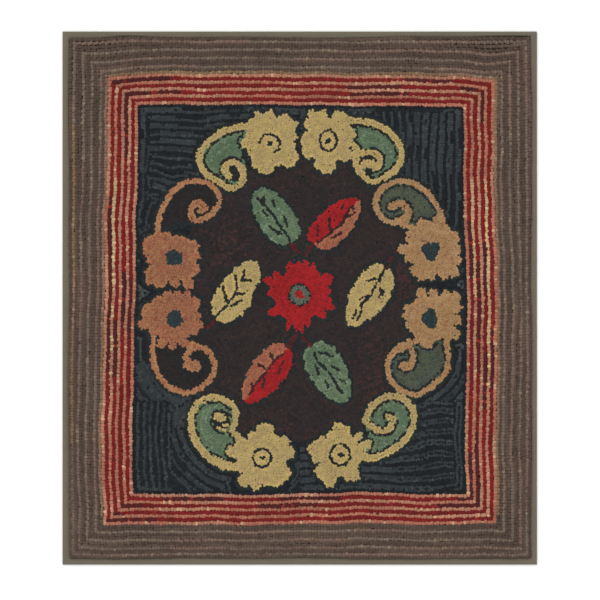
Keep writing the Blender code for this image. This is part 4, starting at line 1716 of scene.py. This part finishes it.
@dataclass
class Pile:
    """Makes loops and their stitches on the back into meshes.

    A loop is a pillow of a strip folded over: a six-sided foot with its long sides along the row, the same
    outline drawn in a little at the shoulder, and a short ridge across the row on top. Each loop's colour is
    darkened at its foot and less at its shoulder, a painted shade where its neighbours shade it, and each
    stitch on the back is darkened along its rim, a painted shade where it meets the cloth.
    """

    lift: float = 0.80
    foot_size: float = 1.22
    shoulder_share: float = 0.93
    shoulder_size: float = 1.20
    ridge_size: float = 0.58
    nose: float = 0.80
    # painted shade: factors on each loop's colour at its foot and at its shoulder, where neighbouring loops
    # shade it
    foot_shade: float = 0.82
    shoulder_shade: float = 0.96
    jitter: float = 0.25
    twist: float = 0.15
    size_spread: float = 0.10
    patches: float = 0.035
    highest: float = 0.55
    shoulder_jitter: float = 0.09
    ridge_jitter: float = 0.12
    height_jitter: float = 0.16
    slope_jitter: float = 0.012
    top_jitter: float = 0.08
    stitch_top: float = 0.9
    stitch_low: float = 0.05
    stitch_wide: float = 0.8
    stitch_long: float = 1.96
    stitch_ridge: float = 1.5
    stitch_jitter: float = 0.15
    # painted shade: factors on each back stitch's colour along its rim, where it meets the cloth, and along its
    # ridge
    rim_shade: float = 0.6
    ridge_shade: float = 0.95

    def __post_init__(self) -> None:
        """Starts the draws of chance, and lists each wool's shades."""
        self.chance = np.random.default_rng(SEED)
        wools = [dye.value for dye in DYES]
        self.first = np.array([linear_colour(w.colour) for w in wools])
        self.second = np.array([linear_colour(w.second or w.colour) for w in wools])
        self.fleck = np.array([linear_colour(w.fleck or w.colour) for w in wools])
        self.numbers = np.array([[w.share, w.strips, w.loops, w.flecks] for w in wools])

    def colours(self, loops: Loops) -> Array:
        """Colour of each loop.

        It is the wool's first or second shade, as its strip falls, times the lightness of its strip and its
        own, or the fleck's colour where one falls.

        Args:
            loops: the loops to colour.

        Returns:
            Red, green and blue of each, in linear light.
        """
        share, strips, single, flecks = self.numbers[loops.dye].T
        count = int(loops.strip.max()) + 1
        second = self.chance.random(count)[loops.strip] < share
        strip_light = self.chance.normal(0, 1, count)[loops.strip] * strips
        own_light = self.chance.normal(0, 1, len(share)) * single
        flecked = self.chance.random(len(share)) < flecks
        colour = np.where(second[:, None], self.second[loops.dye], self.first[loops.dye])
        colour = np.where(flecked[:, None], self.fleck[loops.dye], colour)
        x, y = loops.place.T
        slow = np.sin(x / 11 + y / 17) * np.sin(y / 9 - x / 23) + np.sin(x / 29) * np.sin(y / 31 + 1)
        light = loops.light * self.lift * np.clip(1 + strip_light + own_light + self.patches * slow, 0.5, 1.6)
        return np.clip(colour * light[:, None], 0.0, 1.0)

    def outline(self) -> Array:
        """The six corners of a loop's foot, as shares of its half size across and along the row."""
        nose = self.nose
        return np.array([(1, -nose), (1, nose), (0, 1), (-1, nose), (-1, -nose), (0, -1)], float)

    def placed(self, loops: Loops, shape: Array, grow: float) -> Array:
        """Points of a flat shape round each loop: across times its normal, plus along times its heading.

        Args:
            loops: the loops.
            shape: shares of the half sizes across and along.
            grow: factor on both.

        Returns:
            x and y for each loop and each point of the shape.
        """
        across = np.stack([np.sin(loops.heading), -np.cos(loops.heading)], axis=1)
        along = np.stack([np.cos(loops.heading), np.sin(loops.heading)], axis=1)
        u = shape[None, :, 0] * loops.across[:, None] * grow
        v = shape[None, :, 1] * loops.along[:, None] * grow
        return loops.place[:, None] + u[..., None] * across[:, None] + v[..., None] * along[:, None]

    def copies(self, name: str, places: tuple[Array, Array], faces: list[Array],
               colours_and_painted_shade: tuple[Array, Array]) -> bpy.types.Mesh:
        """One mesh of many copies of a small shape.

        Args:
            name: the mesh's name.
            places: x and y of each copy's points, and their heights.
            faces: the corners of one copy's faces, in the order in which they are stored.
            colours_and_painted_shade: the colour of each copy, and the painted shade of each of its points, a
                factor on that colour.

        Returns:
            The mesh, with its colours and its UV map in plan.
        """
        (flat, tall), (colours, shade) = places, colours_and_painted_shade
        points = np.concatenate([flat, tall[..., None]], axis=2).reshape(-1, 3) * MM
        first = (np.arange(len(tall)) * tall.shape[1])[:, None, None]
        mesh = make_mesh(name, points, [(first + own[None]).reshape(-1, own.shape[1]) for own in faces])
        # each point's colour is its copy's colour times the painted shade of that point
        add_colours(mesh, "yarn_colour", (colours[:, None] * shade[None, :, None]).reshape(-1, 3))
        add_uv(mesh, "OFBake", plan_uv(points))
        return mesh

    def loop_mesh(self, name: str, loops: Loops, colours: Array) -> bpy.types.Mesh:
        """The loops of one piece as one mesh, with each loop's foot stored before what covers it.

        Args:
            name: the mesh's name.
            loops: the loops.
            colours: the colour of each.

        Returns:
            The mesh, with its colours and its UV map in plan.
        """
        count, shape = len(loops.place), self.outline()
        loops.across = loops.across * (1 + self.size_spread * self.chance.normal(0, 1, count))
        ridge = np.array([(self.ridge_size, 0.0), (-self.ridge_size, 0.0)])
        foot = self.placed(loops, shape, self.foot_size)
        shoulder = self.placed(loops, shape, self.shoulder_size)
        shoulder = shoulder + self.chance.normal(0, self.shoulder_jitter, shoulder.shape)
        top = self.placed(loops, ridge, 1.0) + self.chance.normal(0, self.ridge_jitter, (count, 2, 2))
        x, y = loops.place.T
        height = LOOP_TOP - LOOP_FOOT + unevenness(x, y) + self.chance.normal(0, self.height_jitter, count)
        height = np.minimum(height, LOOP_TOP - LOOP_FOOT + self.highest)
        foot_z = np.full((count, 6), LOOP_FOOT)
        slope = self.shoulder_share + self.slope_jitter * self.chance.normal(0, 1, (count, 6))
        shoulder_z = LOOP_FOOT + height[:, None] * slope
        top_z = LOOP_FOOT + height[:, None] + self.chance.normal(0, self.top_jitter, (count, 2))
        ring = np.arange(6)
        after = (ring + 1) % 6
        sides = np.stack([ring, after, after + 6, ring + 6], axis=1)
        right, left = 12, 13
        roof = np.array([(6, 7, right), (7, 8, right), (right, 8, left), (8, 9, left), (9, 10, left),
                         (10, 11, left), (left, 11, right), (11, 6, right)])
        # painted shade: each loop's foot points darkest, its shoulder points a little dark, its ridge at full
        # colour
        shade = np.array([self.foot_shade] * 6 + [self.shoulder_shade] * 6 + [1.0] * 2)
        flat = np.concatenate([foot, shoulder, top], axis=1)
        tall = np.concatenate([foot_z, shoulder_z, top_z], axis=1)
        return self.copies(name, (flat, tall), [ring[::-1][None], sides, roof], (colours, shade))

    def stitch_mesh(self, name: str, loops: Loops, colours: Array) -> bpy.types.Mesh:
        """What two loops leave on the back: a short flat run of wool, thickest along its middle.

        Args:
            name: the mesh's name.
            loops: every second loop.
            colours: the colour of each.

        Returns:
            The mesh, with its colours and its UV map in plan.
        """
        count = len(loops.place)
        wide, long = self.stitch_wide, self.stitch_long
        shape = np.array([(wide, -long), (wide, long), (-wide, long), (-wide, -long)])
        ridge = np.array([(0.0, -self.stitch_ridge), (0.0, self.stitch_ridge)])
        rim = self.placed(loops, shape, 1.0)
        low = self.placed(loops, ridge, 1.0) + self.chance.normal(0, self.stitch_jitter, (count, 2, 2))
        rim_z, low_z = np.full((count, 4), self.stitch_top), np.full((count, 2), self.stitch_low)
        tall = np.concatenate([rim_z, low_z], axis=1)
        flat = np.concatenate([rim, low], axis=1)
        sides, ends = np.array([[1, 0, 4, 5], [3, 2, 5, 4]]), np.array([[0, 3, 4], [2, 1, 5]])
        faces = [np.array([[0, 1, 2, 3]]), sides, ends]
        # painted shade: the stitch's rim darker than its ridge
        shade = np.array([self.rim_shade] * 4 + [self.ridge_shade] * 2)
        return self.copies(name, (flat, tall), faces, (colours, shade))

    def build(self, loops: Loops, material: bpy.types.Material) -> list[bpy.types.Object]:
        """Makes every piece of the pile: the loops zone by zone, then the stitches on the back.

        Args:
            loops: all loops of the rug.
            material: their finish.

        Returns:
            The pieces.
        """
        colours = self.colours(loops)
        loops.place = loops.place + self.chance.normal(0, self.jitter, loops.place.shape)
        loops.heading = loops.heading + self.chance.normal(0, self.twist, len(loops.heading))
        pieces = []
        for number, zone in enumerate(ZONES):
            own = loops.zone == number
            mesh = self.loop_mesh(zone.value, loops.taken(own), colours[own])
            pieces.append(make_piece(zone.value, mesh, material))
        border = loops.zone <= Zone.STRIPED_BAND.number
        second = np.arange(len(border)) % 2 == 0
        stitches = (("border_back_stitches", border & second), ("field_back_stitches", ~border & second))
        for name, own in stitches:
            mesh = self.stitch_mesh(name, loops.taken(own), colours[own])
            pieces.append(make_piece(name, mesh, material))
        for piece in pieces:
            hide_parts("hooked_rug")
        return pieces


@dataclass
class FoundationCloth:
    """The burlap that is hooked through: a thin slab, whose bare margin rises between the tape's legs."""

    edge: float = TAPE_THICK + CLEARANCE
    low_inside: float = 0.4
    margin_to: float = 12.9
    ramp: float = 3.0
    steps: int = 42

    def lines(self, half: float) -> Array:
        """Grid lines across the cloth, closer together at the margin."""
        ramp = self.margin_to + self.ramp * np.array([0.0, 0.5, 1.0])
        near = np.array([self.edge, 4.0, 8.0, *ramp])
        inner = np.linspace(-half + self.margin_to + self.ramp, half - self.margin_to - self.ramp, self.steps)
        return np.concatenate([-half + near[:-1], inner, half - near[:-1][::-1]])

    def mesh(self) -> bpy.types.Mesh:
        """The slab: a grid for each face and a strip round the edge.

        The underside is at the margin's height near the edge and falls by a smooth step to its height
        inside, with small slow waves, and the upper side is a cloth's thickness above it.
        """
        x, y = np.meshgrid(self.lines(HALF_X), self.lines(HALF_Y))
        depth = np.minimum(HALF_X - np.abs(x), HALF_Y - np.abs(y))
        share = np.clip((depth - self.margin_to) / self.ramp, 0, 1)
        step = share * share * (3 - 2 * share)
        low = MARGIN_LOW + (self.low_inside - MARGIN_LOW) * step
        low = low + 0.06 * step * (np.sin(x / 31) + np.sin(y / 27))
        rows, cols = x.shape
        under = np.stack([x, y, low], axis=2).reshape(-1, 3)
        over = np.stack([x, y, low + CLOTH_THICK], axis=2).reshape(-1, 3)
        number = np.arange(rows * cols).reshape(rows, cols)
        top = grid_faces(number) + rows * cols
        bottom = grid_faces(number)[:, [0, 3, 2, 1]]
        rim = np.concatenate([number[0, :-1], number[:-1, -1], number[-1, :0:-1], number[:0:-1, 0]])
        after = np.roll(rim, -1)
        wall = np.stack([rim, after, after + rows * cols, rim + rows * cols], axis=1)
        points = np.concatenate([under, over]) * MM
        mesh = make_mesh("foundation_cloth", points, [bottom, wall, top])
        add_uv(mesh, "Weave", points[:, :2])
        add_uv(mesh, "OFBake", plan_uv(points))
        return mesh

    def build(self, material: bpy.types.Material, on_it: list[bpy.types.Object]) -> bpy.types.Object:
        """The cloth as a piece.

        Args:
            material: its finish.
            on_it: the pieces of the pile; not used.

        Returns:
            The piece.
        """
        piece = make_piece("foundation_cloth", self.mesh(), material)
        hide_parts("hooked_rug")
        return piece


@dataclass
class BindingTape:
    """The tape folded over the edge all round, mitred at the corners, with its ends lapped on the left."""

    fold: float = 1.3
    steps: int = 120
    pucker: float = 0.16
    front_swell: float = 0.35

    def section(self) -> tuple[Array, Array, Array, Array]:
        """The folded section, from the back leg's inner edge round the fold to the front leg and back.

        Returns:
            Depth inside the edge, height, how much the lap raises it, and how far it strays with the rim.
        """
        inner, top = EDGE_HEIGHT - TAPE_THICK, EDGE_HEIGHT
        turn = np.radians(np.linspace(-90, -270, 9))
        out_depth = self.fold * (1 + np.cos(turn)) + 0.0
        out_height = EDGE_HEIGHT / 2 * (1 + np.sin(turn))
        front = RIM_AT - CLEARANCE
        depth = np.concatenate([[TAPE_BACK, 7.0], out_depth, [5.0, 8.6, front - 0.3, front, front - 0.1, 6.0],
                                [TAPE_THICK, TAPE_THICK, 7.0, TAPE_BACK]])
        height = np.concatenate([[0.0, 0.0], out_height,
                                 [top + 0.1, top + 0.05, top - 0.1, top - 0.45, inner, inner],
                                 [inner, TAPE_THICK, TAPE_THICK, TAPE_THICK]])
        raised = np.concatenate([[0.0, 0.0], np.linspace(0, 1, 9) ** 2, [1.0, 1.0, 1.0, 0.8, 0.0, 0.0],
                                 [0.0, 0.0, 0.0, 0.0]])
        strays = (depth > front - 0.5) & (height > EDGE_HEIGHT / 2)
        return depth, height, raised * TAPE_THICK, strays.astype(float)

    def lap_lift(self, x_share: Array, y: Array) -> Array:
        """From 0 to 1, how far the lapped end stands over the layer below it, on the left side only."""
        rise = np.clip((y - LAP_END_Y) / LAP_STEP, 0, 1)
        fall = np.clip((LAP_END_Y + LAP_LENGTH + LAP_RAMP - y) / LAP_RAMP, 0, 1)
        return np.where(x_share <= -1.0, np.minimum(rise, fall), 0.0)

    def mesh(self) -> bpy.types.Mesh:
        """The section carried round the rug.

        Each point of the ring is at its section's depth and height, and the front leg puckers by a product of
        waves along the tape and across it.
        """
        places = (LAP_END_Y - LAP_STEP / 2, LAP_END_Y + LAP_STEP, LAP_END_Y + LAP_LENGTH)
        x_share, y_share = ring_shares(self.steps, self.steps, tuple(y / HALF_Y for y in places))
        depth, height, raised, strays = self.section()
        count, around = len(depth), len(x_share)
        x = x_share[None] * (HALF_X - depth[:, None])
        y = y_share[None] * (HALF_Y - depth[:, None])
        rim_x, rim_y = ring_point(RIM_AT, x_share, y_share)
        edge_x, edge_y = rim_x + CLEARANCE * x_share, rim_y + CLEARANCE * y_share
        follow = strays[:, None] > 0
        inset = (RIM_AT - CLEARANCE) - depth[:, None]
        x = np.where(follow, edge_x[None] + inset * x_share[None], x)
        y = np.where(follow, edge_y[None] + inset * y_share[None], y)
        length = np.concatenate([[0], np.cumsum(np.hypot(np.diff(edge_x), np.diff(edge_y)))])
        wave = np.sin(length / 4.3) * np.sin(length / 31) + 0.6 * np.sin(length / 9.7 + 1)
        on_top = (height > EDGE_HEIGHT - 0.2)[:, None] & (depth > 2)[:, None]
        z = height[:, None] + raised[:, None] * self.lap_lift(x_share, edge_y)[None]
        swell = self.front_swell * np.sin(np.pi * depth / RIM_AT)[:, None] ** 2
        z = z + np.where(on_top, self.pucker * wave[None] + swell, 0)
        points = np.stack([x, y, z], axis=2).reshape(-1, 3) * MM
        number = np.arange(count * around).reshape(count, around)
        side = np.roll(number, -1, axis=1)
        up, up_side = np.roll(number, -1, axis=0), np.roll(side, -1, axis=0)
        faces = np.stack([number, up, up_side, side], axis=2).reshape(-1, 4)
        mesh = make_mesh("binding_tape", points, [faces])
        across = np.concatenate([[0.0], np.cumsum(np.hypot(np.diff(depth), np.diff(height)))])
        weave = np.stack(np.broadcast_arrays(length[None], across[:, None]), axis=2).reshape(-1, 2) * MM
        add_uv(mesh, "Weave", weave)
        return mesh

    def stitches(self, material: bpy.types.Material) -> bpy.types.Object:
        """Small slanted stitches that hold the back leg of the tape to the cloth, every few millimetres."""
        x_share, y_share = ring_shares(84, 94)
        corner = (np.abs(x_share) > 0.97) & (np.abs(y_share) > 0.97)
        x_share, y_share = x_share[~corner], y_share[~corner]
        place = np.column_stack([x_share * (HALF_X - TAPE_BACK), y_share * (HALF_Y - TAPE_BACK)])
        turn = np.arctan2(place[:, 1] / HALF_Y, place[:, 0] / HALF_X)
        heading = np.round(turn / (np.pi / 2)) * np.pi / 2 + 0.55
        around = np.arange(5) * 2 * np.pi / 5
        along = np.linspace(-1, 1, 4)
        bulge = np.sqrt(np.clip(1 - along ** 4, 0.02, 1))
        u = 0.45 * np.cos(around)[None, :] * bulge[:, None]
        w = 0.40 * np.sin(around)[None, :] * bulge[:, None] + 0.30 + 0.25 * along[:, None] ** 2
        v = 2.2 * along[:, None] + 0 * u
        u, v, w = u.ravel(), v.ravel(), w.ravel()
        x = place[:, :1] + v[None] * np.cos(heading)[:, None] - u[None] * np.sin(heading)[:, None]
        y = place[:, 1:] + v[None] * np.sin(heading)[:, None] + u[None] * np.cos(heading)[:, None]
        points = np.stack([x, y, np.broadcast_to(w, x.shape)], axis=2).reshape(-1, 3) * MM
        first = (np.arange(len(place)) * 20)[:, None, None]
        ring, after = np.arange(5), (np.arange(5) + 1) % 5
        sides = np.concatenate([np.stack([ring, ring + 5, after + 5, after], axis=1) + 5 * k for k in range(3)])
        ends = np.stack([ring, ring[::-1] + 15])
        mesh = make_mesh("hem_stitches", points, [
            (first + sides[::, ::-1][None]).reshape(-1, 4), (first + ends[:, ::-1][None]).reshape(-1, 5)])
        add_uv(mesh, "Weave", points[:, :2])
        return make_piece("hem_stitches", mesh, material)

    def build(self, material: bpy.types.Material) -> bpy.types.Object:
        """The tape as a piece, with its stitches.

        Args:
            material: its finish.

        Returns:
            The piece.
        """
        piece = make_piece("binding_tape_cloth", self.mesh(), material)
        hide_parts("binding_tape")
        self.stitches(material)
        return piece


@dataclass
class Studio:
    """Pale floor, even light from above and a camera that looks straight down, as the photograph does."""

    look_x: float = 0.5
    look_y: float = -3.2
    view_width: float = 960.0
    lens: float = 180.0
    sensor: float = 36.0
    floor_size: float = 6.0
    floor_drop: float = 0.0005

    def camera(self) -> None:
        """The camera, as far up as its lens needs to see the view's width at the top of the pile."""
        data = bpy.data.cameras.new("camera")
        data.lens, data.sensor_width = self.lens, self.sensor
        camera = bpy.data.objects.new("camera", data)
        away = self.view_width * MM * self.lens / self.sensor
        camera.location = (self.look_x * MM, self.look_y * MM, away + LOOP_TOP * MM)
        bpy.context.scene.collection.objects.link(camera)
        bpy.context.scene.camera = camera

    def floor(self) -> None:
        """A pale floor just under the rug."""
        edge = np.linspace(-self.floor_size, self.floor_size, 9)
        x, y = np.meshgrid(edge, edge)
        points = np.stack([x, y, np.full_like(x, -self.floor_drop)], axis=2).reshape(-1, 3)
        mesh = make_mesh("floor", points, [grid_faces(np.arange(x.size).reshape(x.shape))])
        material = bpy.data.materials.new("pale_floor")
        material.use_nodes = True
        shader = material.node_tree.nodes["Principled BSDF"]
        shader.inputs["Base Color"].default_value = (0.95, 0.95, 0.95, 1.0)
        shader.inputs["Roughness"].default_value = 0.9
        mesh.materials.append(material)
        floor = bpy.data.objects.new("floor", mesh)
        bpy.context.scene.collection.objects.link(floor)

    def lights(self) -> None:
        """Even light all round, and a broad soft lamp from the far left that models the loops."""
        world = bpy.data.worlds.new("studio")
        bpy.context.scene.world = world
        world.use_nodes = True
        world.node_tree.nodes["Background"].inputs["Color"].default_value = (1.0, 1.0, 1.0, 1.0)
        world.node_tree.nodes["Background"].inputs["Strength"].default_value = 0.80
        lamp = bpy.data.lights.new("key", "SUN")
        lamp.energy = 1.35
        lamp.angle = math.radians(40)
        key = bpy.data.objects.new("key", lamp)
        key.rotation_euler = (math.radians(-28), math.radians(-24), 0.0)
        bpy.context.scene.collection.objects.link(key)
        bpy.context.scene.view_settings.view_transform = "Standard"

    def build(self) -> None:
        """The whole studio."""
        self.camera()
        self.floor()
        self.lights()


def main() -> None:
    """Builds the studio, the pile, the cloth and the tape, and reports each piece."""
    logging.basicConfig(level=logging.INFO, format="%(message)s")
    Studio().build()
    fibres, weave = fibre_group(), weave_group()
    wool = WoolFinish().material(fibres)
    burlap = WovenFinish("burlap", "#6E5A42", "#7D6A50", 0.0016, 0.45, 0.6).material(weave)
    tape = WovenFinish("faded_tape", "#676051", "#786F60", 0.0007, 0.22, 0.8).material(weave)
    loops = Loops.joined([BorderRows().loops(), HookedField().loops()])
    pieces = Pile().build(loops, wool)
    FoundationCloth().build(burlap, pieces)
    BindingTape().build(tape)


if __name__ == "__main__":
    main()
